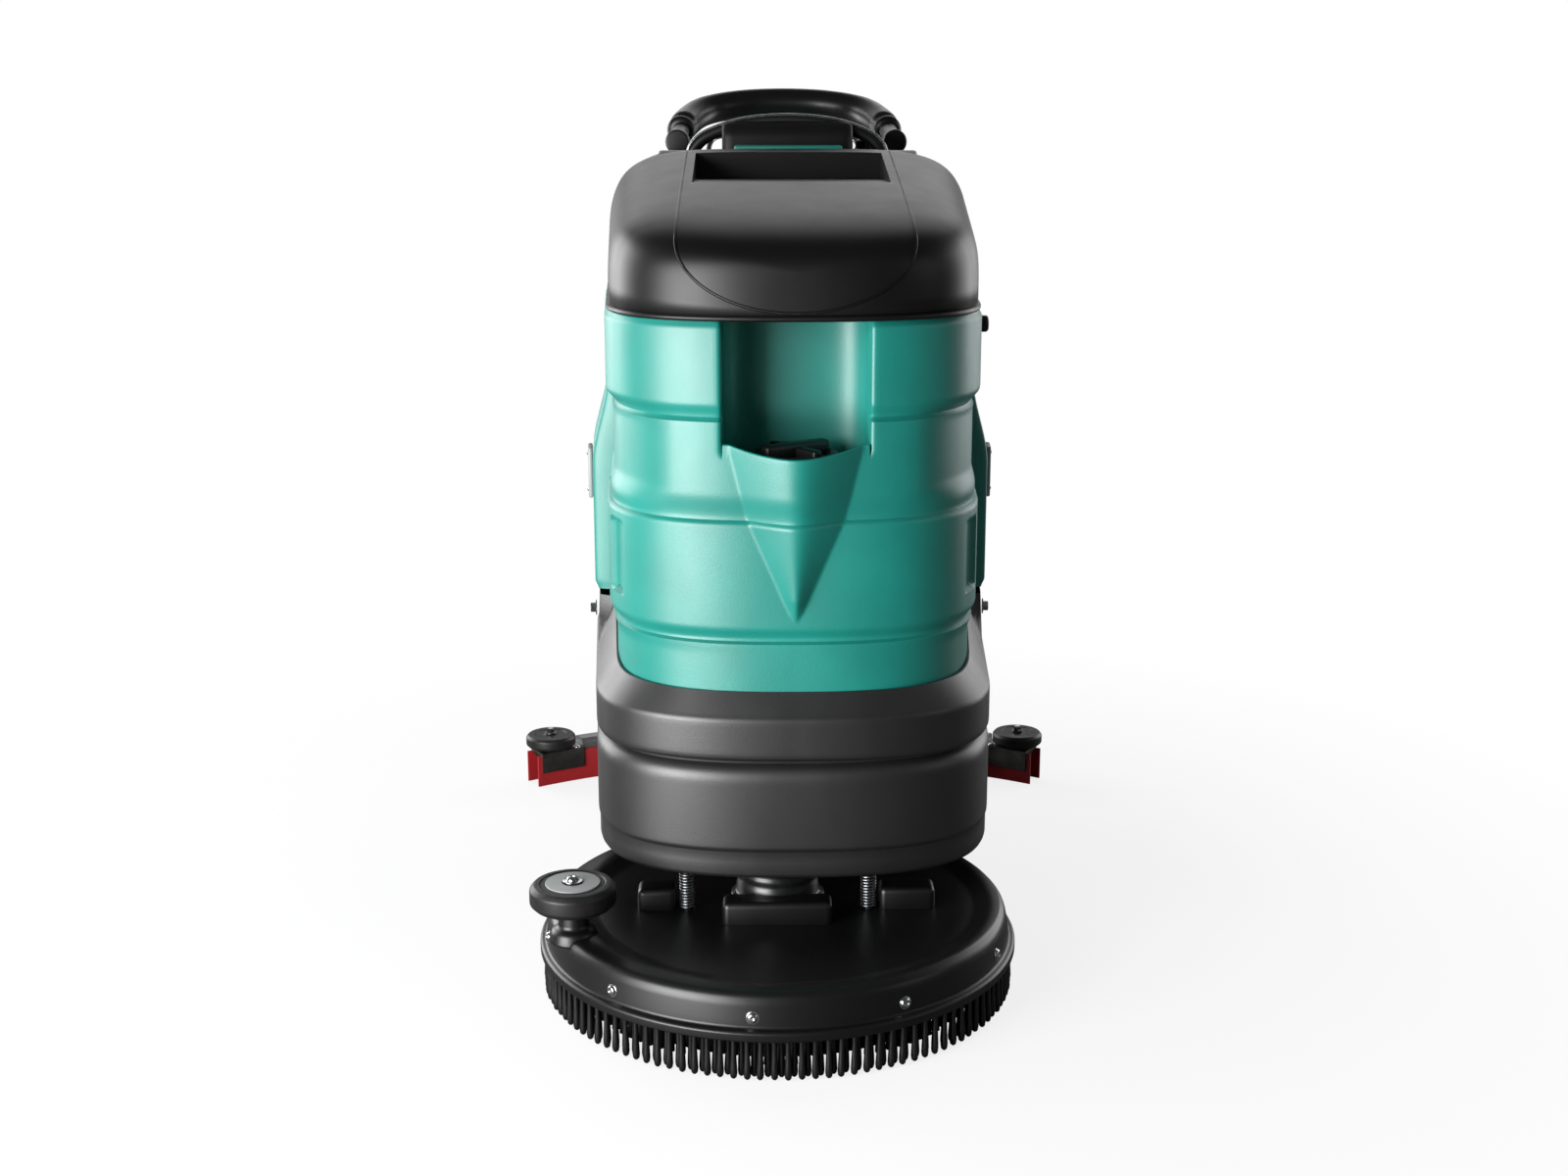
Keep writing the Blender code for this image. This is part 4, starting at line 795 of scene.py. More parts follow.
def shell_skin():
    """Lower body: (height, inset) rows up the wall, the bevel to the tank, and back down.

    Rows above the band climb to the rim, which is low at the nose and high at the sides.
    Heights under the wheel's arch are lifted onto its circle.
    """
    band_top, tuck, arch_radius = 0.3405, 0.0140, 0.114
    rows = [(0.1490, tuck), (0.1490, 0.0060), (0.1496, 0.0042), (0.1515, 0.0026),
            (0.1545, 0.0018), (0.168, 0.0018), (0.1805, 0.0018), (0.1818, 0.0014),
            (0.1832, 0.0002)]
    rows += [(z, 0.0) for z in np.linspace(0.187, 0.264, 16)]
    rows += [(0.269, 0.0004), (0.2735, 0.0016), (0.2775, 0.0038), (0.2805, 0.0068),
             (0.2825, 0.0100), (0.2840, 0.0122), (0.2858, 0.0120), (0.2872, 0.0080),
             (0.2888, 0.0036), (0.2908, 0.0012), (0.2935, 0.0002)]
    rows += [(z, 0.0) for z in np.linspace(0.298, 0.334, 8)]
    rows += [(0.3370, 0.0003), (0.3393, 0.0013)]
    height, inset = np.array(rows).T
    bevel = np.linspace(0, 1, 9)
    height = np.concatenate([height, np.full(13, band_top)])
    inset = np.concatenate([inset, np.full(13, 0.0022)])
    climb = np.concatenate([np.zeros(len(rows)), bevel, (1, 0.6, 0.2, 0)])
    inward = np.concatenate([np.zeros(len(rows)), bevel, (1.12, 1.12, 1.12, 1.0)])
    half = np.full(len(height), BODY_HALF)
    share = nose_shares(np.linspace(0, 0.10, 21), half, 44)
    x, y = plan(half, NOSE_Y, BODY_REAR, NOSE, 0.05, share, 96)
    side = smooth((np.abs(x) / (BODY_HALF * flare(y)) - 0.5) / 0.4)
    rim = 0.366 + 0.0438 * smooth((y - NOSE_Y - 0.09) / 0.26)
    behind = smooth((y - TANK_SPLIT + 0.02) / 0.012)
    reach = (0.0163 + 0.0068 * side) * (1 - behind) + 0.0035 * behind
    full_in = inset[:, None] + inward[:, None] * reach
    full_in[-3:] = np.maximum(full_in[-3:], 0.0185)
    z = height[:, None] + climb[:, None] * (rim - band_top)
    z[-1] = SHELL_LOW.z
    full_in[-1] = tuck
    _, wheel_y, wheel_z = spot("tyre_left")[2]
    arch = wheel_z + np.sqrt(np.maximum(arch_radius ** 2 - (y - wheel_y) ** 2, 0))
    arch = np.where(np.abs(y - wheel_y) < arch_radius, arch, 0)
    z = np.maximum(z, arch * (np.abs(x) > 0.15))
    x, y = draw_in(x, y, full_in)
    return skin(np.stack([x, y, z], -1), wrap_rows=True)


# ---------------------------------------------------------------- handle

HANDLE_HALF, HANDLE_START, GRIP_RADIUS, TUBE_RADIUS = 0.148, 0.300, 0.021, 0.0125


def handle_path(count):
    """Handle route: a Catmull-Rom curve through its bends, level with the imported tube."""
    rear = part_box("handle_grip")[1].y - GRIP_RADIUS
    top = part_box("handle_grip")[1].z - GRIP_RADIUS
    left = [(-HANDLE_HALF, HANDLE_START, 0.961), (-0.150, 0.370, 0.966), (-0.144, 0.450, 0.982),
            (-0.118, rear - 0.042, top - 0.013), (-0.066, rear - 0.008, top - 0.003),
            (0, rear, top)]
    return spline(left + [(-x, y, z) for x, y, z in left[-2::-1]], count)


def grip_radii(path):
    """Sleeve radius along the path: full, with stepped collars over the first 28 mm."""
    run = np.concatenate([[0], np.cumsum(np.linalg.norm(np.diff(path, axis=0), axis=1))])
    near = np.minimum(run, run[-1] - run)
    keys = (0, 0.0015, 0.009, 0.0105, 0.0125, 0.017, 0.0185, 0.0205, 0.026, 0.028, 0.034)
    radii = (0.0150, 0.0200, 0.0200, 0.0175, 0.0175, 0.0195, 0.0195, 0.0178, 0.0178, 0.0200,
             GRIP_RADIUS)
    return np.interp(near, keys, radii)


# ---------------------------------------------------------------- wheels and squeegee

def tyre_skin(centre, radius, half, inner, blocks):
    """Tyre: width rows by angle columns; blocks are cut where a skewed wave is low."""
    w = np.concatenate([[-half, -half], np.linspace(-half, half, 25), [half, half]])
    steps = blocks * 10
    a = 2 * pi * np.arange(steps) / steps
    edge = np.clip(np.abs(w) / half, 0, 1)
    crown = radius - 0.0062 * edge ** 6
    crown[[0, -1]] = inner
    crown[[1, -2]] = radius * 0.88
    skew = blocks * a[None] + 1.1 * np.abs(w[:, None]) / half * pi * 0.5
    cut = 0.0034 * smooth((np.cos(skew) - 0.55) / 0.25) * smooth((edge[:, None] - 0.22) / 0.1)
    rib = 0.0026 * np.exp(-((np.abs(w[:, None]) / half - 0.16) / 0.05) ** 2)
    tread = ((edge > 0) | (np.abs(w) < half))[:, None] * (cut + rib)
    tread[[0, 1, -1, -2]] = 0
    r = crown[:, None] - tread
    points = np.stack([w[:, None] + 0 * r, r * np.cos(a), r * np.sin(a)], -1)
    return skin(points + np.asarray(centre), wrap_rows=True)


SQUEEGEE_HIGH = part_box("squeegee_bar")[1]
SQUEEGEE_RADIUS = 0.698
SQUEEGEE_CENTRE = SQUEEGEE_HIGH.y - 0.015 - SQUEEGEE_RADIUS


def arced(section, low, high, steps):
    """(radius, z) section carried round the squeegee's centre; angles are from +Y."""
    section = np.asarray(section, float)
    a = np.linspace(low, high, steps + 1)[:, None]
    r = section[None, :, 0]
    return skin(np.stack([r * np.sin(a), SQUEEGEE_CENTRE + r * np.cos(a),
                          section[None, :, 1] + 0 * a], -1))


# ---------------------------------------------------------------- add-on classes

class ScrubberSizes(bpy.types.PropertyGroup):
    """Sizes that a user may change"""
    groove_depth: bpy.props.FloatProperty(
        name="Groove depth", description="How far the tank's band grooves run in",
        default=0.0062, min=0.0, max=0.009, unit="LENGTH")
    pouch_reach: bpy.props.FloatProperty(
        name="Pouch reach", description="How far the filler's spout-shaped pouch stands out",
        default=0.033, min=0.010, max=0.033, unit="LENGTH")
    skirt_fingers: bpy.props.IntProperty(
        name="Skirt fingers", description="Fingers in each of the skirt's two rows",
        default=118, min=40, max=160)
    spring_turns: bpy.props.IntProperty(
        name="Spring turns", description="Turns of each deck spring", default=18, min=6, max=24)
    tread_blocks: bpy.props.IntProperty(
        name="Tread blocks", description="Blocks round each drive tyre",
        default=26, min=12, max=40)
    bristle_pitch: bpy.props.FloatProperty(
        name="Bristle pitch", description="Spacing of the brush's tufts",
        default=0.014, min=0.010, max=0.030, unit="LENGTH")


class ScrubberColours(bpy.types.PropertyGroup):
    """Colours that a user may change, as sRGB hex codes"""
    tank: bpy.props.StringProperty(
        name="Tank", description="Teal of the tank's skin", default="#0b867b")
    tank_deep: bpy.props.StringProperty(
        name="Tank, deep", description="Darker cloud in the tank's skin", default="#0a7c71")
    shell: bpy.props.StringProperty(
        name="Shell", description="Charcoal of the lower body", default="#0f0f0f")
    shell_deep: bpy.props.StringProperty(
        name="Shell, deep", description="Darker cloud in the lower body", default="#0b0b0b")
    blade: bpy.props.StringProperty(
        name="Blade", description="Red of the squeegee blades", default="#a9282c")
    blade_deep: bpy.props.StringProperty(
        name="Blade, deep", description="Darker cloud in the blades", default="#912024")
    floor: bpy.props.StringProperty(
        name="Floor", description="Colour of the studio floor", default="#f4f4f4")


class SCRUBBER_OT_stage(bpy.types.Operator):
    """Build the pale floor, the soft lights and the camera"""
    bl_idname = "scrubber.stage"
    bl_label = "Stage"

    def execute(self, context):
        floor_z = cad_low.z
        mesh = bpy.data.meshes.new("studio_floor")
        mesh.from_pydata([(-30, -30, floor_z), (30, -30, floor_z), (30, 30, floor_z),
                          (-30, 30, floor_z)], [], [(0, 1, 2, 3)])
        floor = bpy.data.objects.new("studio_floor", mesh)
        context.scene.collection.objects.link(floor)
        made, tree, shader, place = start_finish("matt_studio_floor", Specular_IOR_Level=0.2)
        tone = context.scene.scrubber_colours.floor
        # Seen, the floor is pale and fades to white away from the machine; it lights as mid grey
        cloud = pattern(tree, place, 900.0)
        ray = add_node(tree, "ShaderNodeLightPath").outputs["Is Camera Ray"]
        pale = add_node(tree, "ShaderNodeMix", {
            "data_type": "RGBA", 6: linear(tone), 7: linear("#fbfbfb")}, {0: cloud})
        colour = add_node(tree, "ShaderNodeMix", {"data_type": "RGBA", 6: linear("#6a6a6a")},
                          {0: ray, 7: pale.outputs[2]})
        tree.links.new(colour.outputs[2], shader.inputs["Base Color"])
        gloss = add_node(tree, "ShaderNodeMapRange", span(0, 1, 0.75, 0.9), {"Value": cloud})
        tree.links.new(gloss.outputs["Result"], shader.inputs["Roughness"])
        away = add_node(tree, "ShaderNodeVectorMath", {"operation": "LENGTH"}, {0: place})
        fade = add_node(tree, "ShaderNodeMapRange", span(0.55, 1.3, 0.82, 1.0),
                        {"Value": away.outputs["Value"]})
        share = add_node(tree, "ShaderNodeMath", {"operation": "MULTIPLY"},
                         {0: fade.outputs["Result"], 1: ray})
        glow = add_node(tree, "ShaderNodeEmission", {"Color": (1, 1, 1, 1), "Strength": 1.0})
        mix = add_node(tree, "ShaderNodeMixShader", None,
                       {0: share.outputs[0], 1: shader.outputs[0], 2: glow.outputs[0]})
        output = next(n for n in tree.nodes if n.type == "OUTPUT_MATERIAL")
        tree.links.new(mix.outputs[0], output.inputs["Surface"])
        mesh.materials.append(made)

        world = bpy.data.worlds.new("soft_studio")
        world.use_nodes = True
        context.scene.world = world
        tree = world.node_tree
        tree.nodes.clear()
        seen = add_node(tree, "ShaderNodeBackground", {"Color": (1, 1, 1, 1), "Strength": 1.0})
        light = add_node(tree, "ShaderNodeBackground", {"Color": (1, 1, 1, 1), "Strength": 0.08})
        ray = add_node(tree, "ShaderNodeLightPath")
        mix = add_node(tree, "ShaderNodeMixShader", None, {
            0: ray.outputs["Is Camera Ray"], 1: light.outputs[0], 2: seen.outputs[0]})
        add_node(tree, "ShaderNodeOutputWorld", None, {"Surface": mix.outputs[0]})

        # name, place, aimed at, width, height, power
        for name, place, aim, wide, high, power in (
                ("left_softbox", (-1.60, -1.80, 0.74), (0, -0.2, 0.5), 1.5, 1.4, 84),
                ("low_left_panel", (-1.25, -1.75, 0.24), (0, -0.2, 0.2), 1.4, 0.42, 17),
                ("back_panel_left", (-2.9, 2.2, 1.2), (0, 0, 0.6), 2.6, 2.4, 110),
                ("back_panel_right", (2.9, 2.2, 1.2), (0, 0, 0.6), 2.6, 2.4, 60),
                ("back_panel_high", (0, 3.4, 2.3), (0, 0, 0.7), 3.4, 1.4, 26),
                ("right_fill", (3.2, -1.6, 1.6), (0, -0.2, 0.5), 1.2, 1.6, 5)):
            lamp = bpy.data.lights.new(name, "AREA")
            lamp.shape = "RECTANGLE"
            lamp.size, lamp.size_y, lamp.energy = wide, high, power
            made = bpy.data.objects.new(name, lamp)
            made.location = place
            ahead = Vector((np.array(aim, float) - place).tolist())
            made.rotation_mode = "QUATERNION"
            made.rotation_quaternion = ahead.to_track_quat("-Z", "Y")
            made.visible_camera = False
            context.scene.collection.objects.link(made)

        view = bpy.data.cameras.new("front_view")
        view.lens, view.sensor_width = 45.2, 36.0
        made = bpy.data.objects.new("front_view", view)
        made.location = (-0.049, DECK_Y - 2.180, 0.999)
        made.rotation_euler = (radians(90 - 13.565), 0, radians(-0.96))
        context.scene.collection.objects.link(made)
        context.scene.camera = made
        context.scene.view_settings.view_transform = "Standard"
        return {"FINISHED"}


class SCRUBBER_OT_packed(bpy.types.Operator):
    """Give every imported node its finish"""
    bl_idname = "scrubber.packed"
    bl_label = "Packed parts"

    def execute(self, context):
        for finish, names in (
                ("battery_polypropylene", ("battery_left", "battery_right")),
                ("powder_coated_steel", ("chassis", "lever_bracket")),
                ("zinc_plated_steel", ("axle", "castor_fork_left", "castor_fork_right",
                                       "squeegee_arm", "spindle_hub", "lift_lever",
                                       "deck_pedal")),
                ("cast_aluminium", ("transaxle",)),
                ("motor_enamel", ("vacuum_motor", "drive_controller")),
                ("strainer_nylon", ("filler_strainer",)),
                ("display_glass", ("display_window",)),
                ("textured_abs", ("float_housing", "brush_switch", "vacuum_switch")),
                ("bright_steel", ("key_switch", "spindle_bearing")),
                ("stainless_steel", ("squeegee_plate",)),
                ("pad_polypropylene", ("brush_block",))):
            for name in names:
                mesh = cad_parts[name].data
                mesh.materials.clear()
                mesh.materials.append(finish_named(finish))
        return {"FINISHED"}


class SCRUBBER_OT_tanks(bpy.types.Operator):
    """Build the solution tank, the recovery tank and the tower behind the lid"""
    bl_idname = "scrubber.tanks"
    bl_label = "Tanks"

    def execute(self, context):
        sizes = context.scene.scrubber_sizes
        teal = ("machine", "rotomoulded_polyethylene", "teal_tank")
        add_piece("solution_tank_skin", [front_tank_skin(sizes)], *teal, ("front_tank",), sharp=40)
        add_piece("recovery_tank_skin", [rear_tank_skin(sizes)], *teal, ("rear_tank",), sharp=40)
        ridge = block((-0.070, 0.1275, 0.940), (0.070, 0.145, 0.9585), 0.003)
        add_piece("tank_tower_skin", [tower_skin(), ridge], *teal, sharp=40)
        return {"FINISHED"}


class SCRUBBER_OT_lid(bpy.types.Operator):
    """Build the domed lid with its tray, its rolled lip and its panel seam"""
    bl_idname = "scrubber.lid"
    bl_label = "Lid"

    def execute(self, context):
        black = ("lid", "smooth_abs", "lid_plastic")
        add_piece("lid_dome", [lid_skin()], *black, ("lid",), wall=0.004, sharp=40)
        x, y = lid_outline()
        lip = np.stack([x, y, np.full_like(x, LID_EDGE + 0.0034)], -1)
        add_piece("lid_rolled_lip", [swept(lip, 0.0033, 10)], *black, sharp=60)
        add_piece("lid_panel_seam", [swept(seam_path(), 0.0017, 6)], *black, sharp=60)
        return {"FINISHED"}


class SCRUBBER_OT_shell(bpy.types.Operator):
    """Build the lower body with its bands and bevelled rim"""
    bl_idname = "scrubber.shell"
    bl_label = "Lower body"

    def execute(self, context):
        add_piece("lower_body_skin", [shell_skin()], "machine", "textured_polyethylene",
                  "shell_plastic", ("lower_shell",), sharp=38)
        return {"FINISHED"}


class SCRUBBER_OT_filler(bpy.types.Operator):
    """Build the filler's screw cap with its cross rib and knurled rim"""
    bl_idname = "scrubber.filler"
    bl_label = "Filler cap"

    def execute(self, context):
        low, high, (x, y, _) = spot("filler_cap")
        foot, rim = low.z, low.z + 0.024
        radius = (high.x - low.x) / 2
        profile = [(0, foot), (radius - 0.003, foot), (radius - 0.001, foot + 0.003),
                   (radius - 0.001, rim - 0.005), (radius - 0.005, rim - 0.0005),
                   (radius - 0.014, rim - 0.002), (radius - 0.018, rim - 0.006), (0, rim - 0.006)]
        cap = fluted(lathed(profile, 0.0025, (x, y, 0), steps=90), x, y, radius - 0.004,
                     30, 0, 0.012)
        rib = block((x - 0.044, y - 0.009, rim - 0.010), (x + 0.044, y + 0.009, high.z), 0.005,
                    radians(35))
        cross = block((x - 0.044, y - 0.006, rim - 0.010), (x + 0.044, y + 0.006, high.z - 0.004),
                      0.004, radians(125))
        add_piece("filler_screw_cap", [cap, rib, cross], "filler_cap", "textured_abs",
                  "black_plastic", ("filler_cap",), sharp=50)
        return {"FINISHED"}


class SCRUBBER_OT_console(bpy.types.Operator):
    """Build the console's base, operator hump, hand arch and handle sockets"""
    bl_idname = "scrubber.console"
    bl_label = "Console"

    def execute(self, context):
        back = BODY_REAR - 0.0217
        base = [(0.126, 0.9353), (0.126, 0.946), (0.150, 0.952), (0.330, 0.944), (0.362, 0.925),
                (0.366, 0.800), (back, 0.800), (back, 0.9353)]
        hump = [(0.160, 0.940), (0.167, 0.976), (0.180, 0.988), (0.215, 0.990), (0.345, 0.940),
                (0.346, 0.930), (0.165, 0.930)]
        parts = [slab(soften(base, 0.006, True), -0.168, 0.168, 0.005),
                 slab(soften(hump, 0.010, True), -0.086, 0.086, 0.015)]
        for side in (-1, 1):
            socket = [(0, 0), (0.015, 0), (0.0165, 0.003), (0.0165, 0.036), (0, 0.036)]
            parts.append(lathed(socket, 0.002, (side * HANDLE_HALF, 0.262, 0.961), (0, 1, 0), 40))
        black = ("machine", "textured_abs", "black_plastic")
        add_piece("console_moulding", parts, *black, ("console",), sharp=40)
        left = [(-0.128, 0.195, 0.942), (-0.122, 0.195, 0.955), (-0.104, 0.195, 0.970),
                (-0.06, 0.195, 0.985), (0, 0.195, 0.9905)]
        arch = spline(left + [(-x, y, z) for x, y, z in left[-2::-1]], 60)
        add_piece("console_hand_arch", [swept(arch, 0.0085, 14, (0, 1, 0))], *black, sharp=60)
        # A slim bright steel strip over the arch's upper front edge: a painted highlight standing
        # in for the grazing reflection on the black hoop's top
        add_piece("console_arch_painted_highlight", [swept(arch * (1.035, 1, 1) + (0, -0.006, 0.0062), 0.0022,
                  8, (0, 1, 0))], "machine", "stainless_steel", "bright_steel", sharp=60)
        low, _, (x, y, _) = spot("solution_knob")
        z = low.z + 0.0008
        knob = lathed([(0, 0), (0.018, 0), (0.018, 0.003), (0.015, 0.005), (0.0145, 0.014),
                       (0.012, 0.016), (0, 0.0155)], 0.0015, (x, y, z), (0, -0.0444, 1), 64)
        add_piece("solution_valve_knob", [fluted(knob, x, y, 0.0125, 16, 0.2, 0.05, z + 0.004)],
                  "solution_knob", "textured_abs", "black_plastic", ("solution_knob",), sharp=40)
        return {"FINISHED"}


class SCRUBBER_OT_handle(bpy.types.Operator):
    """Build the handle tube, its soft sleeve with stepped collars, and the drive bail"""
    bl_idname = "scrubber.handle"
    bl_label = "Handle"

    def execute(self, context):
        path = handle_path(200)
        add_piece("handle_tube_bent", [swept(path, TUBE_RADIUS, 20)], "machine",
                  "powder_coated_steel", "black_steel", ("handle_tube",), sharp=60)
        sleeve = path[31:-31]
        add_piece("handle_soft_sleeve", [swept(sleeve, grip_radii(sleeve), 28)], "machine",
                  "grip_foam", "soft_grip", ("handle_grip",), sharp=50)
        y, z = 0.3646, 0.912
        route = np.array([(-0.110, 0, 0), (-0.110, 0.066, 0.030), (-0.100, 0.124, 0.052),
                          (-0.05, 0.130, 0.058), (0, 0.132, 0.059), (0.05, 0.130, 0.058),
                          (0.100, 0.118, 0.052), (0.110, 0.060, 0.030), (0.110, 0, 0)])
        add_piece("drive_bail_bent", [swept(spline(route + (0, y, z), 90), 0.004, 12)],
                  "drive_bail", "bright_steel", "bright_steel", ("drive_bail",), sharp=60)
        return {"FINISHED"}


class SCRUBBER_OT_deck(bpy.types.Operator):
    """Build the deck cover, its springs and guide bolts, the motor and the bumper roller"""
    bl_idname = "scrubber.deck"
    bl_label = "Brush deck"

    def execute(self, context):
        sizes = context.scene.scrubber_sizes
        outer, centre = DECK_RADIUS, (DECK_X, DECK_Y, 0)
        top = [(outer - inset, z) for inset, z in (
            (0.130, 0.0908), (0.058, 0.0915), (0.046, 0.0950), (0.038, 0.0978), (0.028, 0.0990),
            (0.019, 0.0975), (0.0135, 0.0930), (0.0110, 0.0860), (0.0080, 0.0665),
            (0.0072, 0.0605), (0.0020, 0.0590), (0, 0.0568), (0, LIP_Z + 0.0012),
            (0.0012, LIP_Z), (0.012, LIP_Z), (0.014, 0.078), (0.022, 0.086))]
        top = [(0.030, 0.0918), *top, (0.030, 0.086)]
        cover = lathed(top, 0.004, centre, steps=200, ring=True, bends=5)
        verts = cover[0]
        reach = np.hypot(verts[:, 0] - DECK_X, verts[:, 1] - DECK_Y)
        verts[:, 0] += 0.009 * window(reach, outer - 0.058, outer - 0.030, 0.013)
        front = DECK_Y - 0.072
        blocks = [block((DECK_X + x0, front + set_back, 0.086),
                        (DECK_X + x1, front + set_back + 0.036, 0.118), 0.007)
                  for x0, x1, set_back in ((-0.064, 0.062, 0.0), (-0.164, -0.119, 0.044),
                                           (0.119, 0.184, 0.044))]
        low, high, (x, y, _) = spot("bumper_roller")
        seat = lathed([(0, 0.088), (0.029, 0.088), (0.025, 0.1020), (0.0175, 0.1060),
                       (0.0160, 0.1270), (0, 0.1270)], 0.004, (x, y, 0), steps=60, bends=6)
        add_piece("deck_cover_moulding", [cover, *blocks, seat], "deck", "deck_polyamide",
                  "deck_plastic", ("deck_cover",), sharp=50)
        spring_low, spring_high, (spring_x, back, _) = spot("deck_spring_right")
        out, foot, head = spring_x - DECK_X, spring_low.z, spring_high.z
        wire, rise = 0.0012, 0.030        # the spring's wire, and how far the deck lifts
        t = np.linspace(0, 1, sizes.spring_turns * 20 + 1)
        angle = 2 * pi * sizes.spring_turns * t
        rods = []
        for side, name in ((-1, "left"), (1, "right")):
            place = np.array((DECK_X + side * out, back, 0))
            coil = np.stack([0.0082 * np.cos(angle), 0.0082 * np.sin(angle),
                             foot + wire + (head - foot - 2 * wire) * t], -1) + place
            made = add_piece(f"deck_spring_coil_{name}", [swept(coil, wire, 8)], "deck",
                             "zinc_plated_steel", "bright_steel", (f"deck_spring_{name}",),
                             sharp=60)
            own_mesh(made)
            rods.append(lathed([(0, 0.089), (0.0052, 0.089), (0.0052, 0.178), (0.010, 0.178),
                                (0.010, 0.185), (0, 0.185)], 0.001, place, steps=24))
        add_piece("deck_guide_rods", rods, "deck", "powder_coated_steel", "zinc_steel")
        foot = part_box("brush_motor")[0].z
        can = [(0, foot), (0.055, foot), (0.055, foot + 0.012), (0.049, foot + 0.016)]
        can += [(0.048 - 0.0015 * (i % 2), 0.120 + 0.006 * i) for i in range(20)]
        can += [(0.046, 0.246), (0.038, 0.252), (0, 0.252)]
        add_piece("brush_motor_can", [lathed(can, 0.0015, centre, steps=64, bends=2)],
                  "deck", "motor_enamel", "motor_paint", ("brush_motor",), sharp=50)
        radius, z = (high.x - low.x) / 2, low.z
        roller = [(0.0073, z), (radius - 0.006, z), (radius, z + 0.006), (radius, z + 0.022),
                  (radius - 0.005, z + 0.0275), (radius - 0.0115, z + 0.0280),
                  (radius - 0.0125, z + 0.0268), (0.030, z + 0.0275), (0.0125, z + 0.0285),
                  (0.0073, z + 0.0285)]
        add_piece("bumper_wheel", [lathed(roller, 0.0018, (x, y, 0), steps=96, ring=True)],
                  "bumper_roller", "roller_rubber", "roller_rubber", ("bumper_roller",), sharp=40)
        face = [(0.0125, z + 0.0270), (0.0310, z + 0.0270), (0.0310, z + 0.0288),
                (0.0125, z + 0.0292)]
        add_piece("bumper_wheel_face", [lathed(face, 0.0006, (x, y, 0), steps=64, ring=True)],
                  "bumper_roller", "plate_acrylic", "roller_rubber", sharp=40)
        post = [(0, 0.0985), (0.012, 0.0985), (0.012, 0.1285), (0.0070, 0.1285), (0.0070, 0.1600),
                (0, 0.1600)]
        add_piece("bumper_bolt", [lathed(post, 0.0008, (x, y, 0), steps=24),
                  bolt_head((x, y, 0.1602), (0, 0, 1), 0.0070, 0.0048, 0.0115)], "deck",
                  "bright_steel", "bright_steel", ("bumper_post",), sharp=30)
        reach = outer - 0.0086
        screws = [bolt_head((DECK_X + reach * cos(a), DECK_Y + reach * sin(a), 0.0720),
                            (cos(a), sin(a), 0.12), 0.0058, 0.0032, 0.0072)
                  for a in (radians(-168.4 + 36 * i) for i in range(10))]
        add_piece("deck_rim_screws", screws, "deck", "bright_steel", "bright_steel")
        return {"FINISHED"}


class SCRUBBER_OT_skirt(bpy.types.Operator):
    """Build the skirt's two rows of moulded fingers and the disc brush's tufts"""
    bl_idname = "scrubber.skirt"
    bl_label = "Skirt and brush"

    def execute(self, context):
        sizes = context.scene.scrubber_sizes
        chance = np.random.default_rng(7)
        top, foot = LIP_Z - 0.0004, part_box("tuft_skirt")[0].z
        verts, faces = turned([(0, top), (0.0028, top), (0.0027, 0.040), (0.0031, 0.028),
                               (0.0038, 0.015), (0.0041, 0.008), (0.0034, 0.0035),
                               (0.0018, foot + 0.0004), (0, foot)], steps=8)
        parts = []
        for radius, shift in ((DECK_RADIUS - 0.0078, 0.0), (DECK_RADIUS - 0.0150, 0.5)):
            for i in range(sizes.skirt_fingers):
                a = 2 * pi * (i + shift) / sizes.skirt_fingers
                lean = chance.uniform(-0.0007, 0.0007, 2) * ((top - verts[:, 2]) / 0.045)[:, None]
                moved = verts + (DECK_X + radius * cos(a), DECK_Y + radius * sin(a), 0)
                moved[:, :2] += lean
                parts.append((moved, faces))
        add_piece("skirt_fingers", parts, "deck", "skirt_filament", "bristle", ("tuft_skirt",),
                  sharp=60)
        low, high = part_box("brush_bristles")
        tuft = turned([(0, high.z), (0.0040, high.z), (0.0046, 0.015), (0.0054, low.z + 0.001),
                       (0.0046, low.z), (0, low.z)], steps=6)
        places = []
        for radius in np.arange(0.102, (high.x - low.x) / 2 - 0.005, sizes.bristle_pitch * 1.35):
            count = int(2 * pi * radius / sizes.bristle_pitch)
            a = 2 * pi * np.arange(count) / count + radius * 50
            places += np.stack([DECK_X + radius * np.cos(a), DECK_Y + radius * np.sin(a),
                                0 * a], -1).tolist()
        add_piece("brush_tufts", copies(tuft, places), "brush", "nylon_bristle", "bristle",
                  ("brush_bristles",), sharp=60)
        return {"FINISHED"}


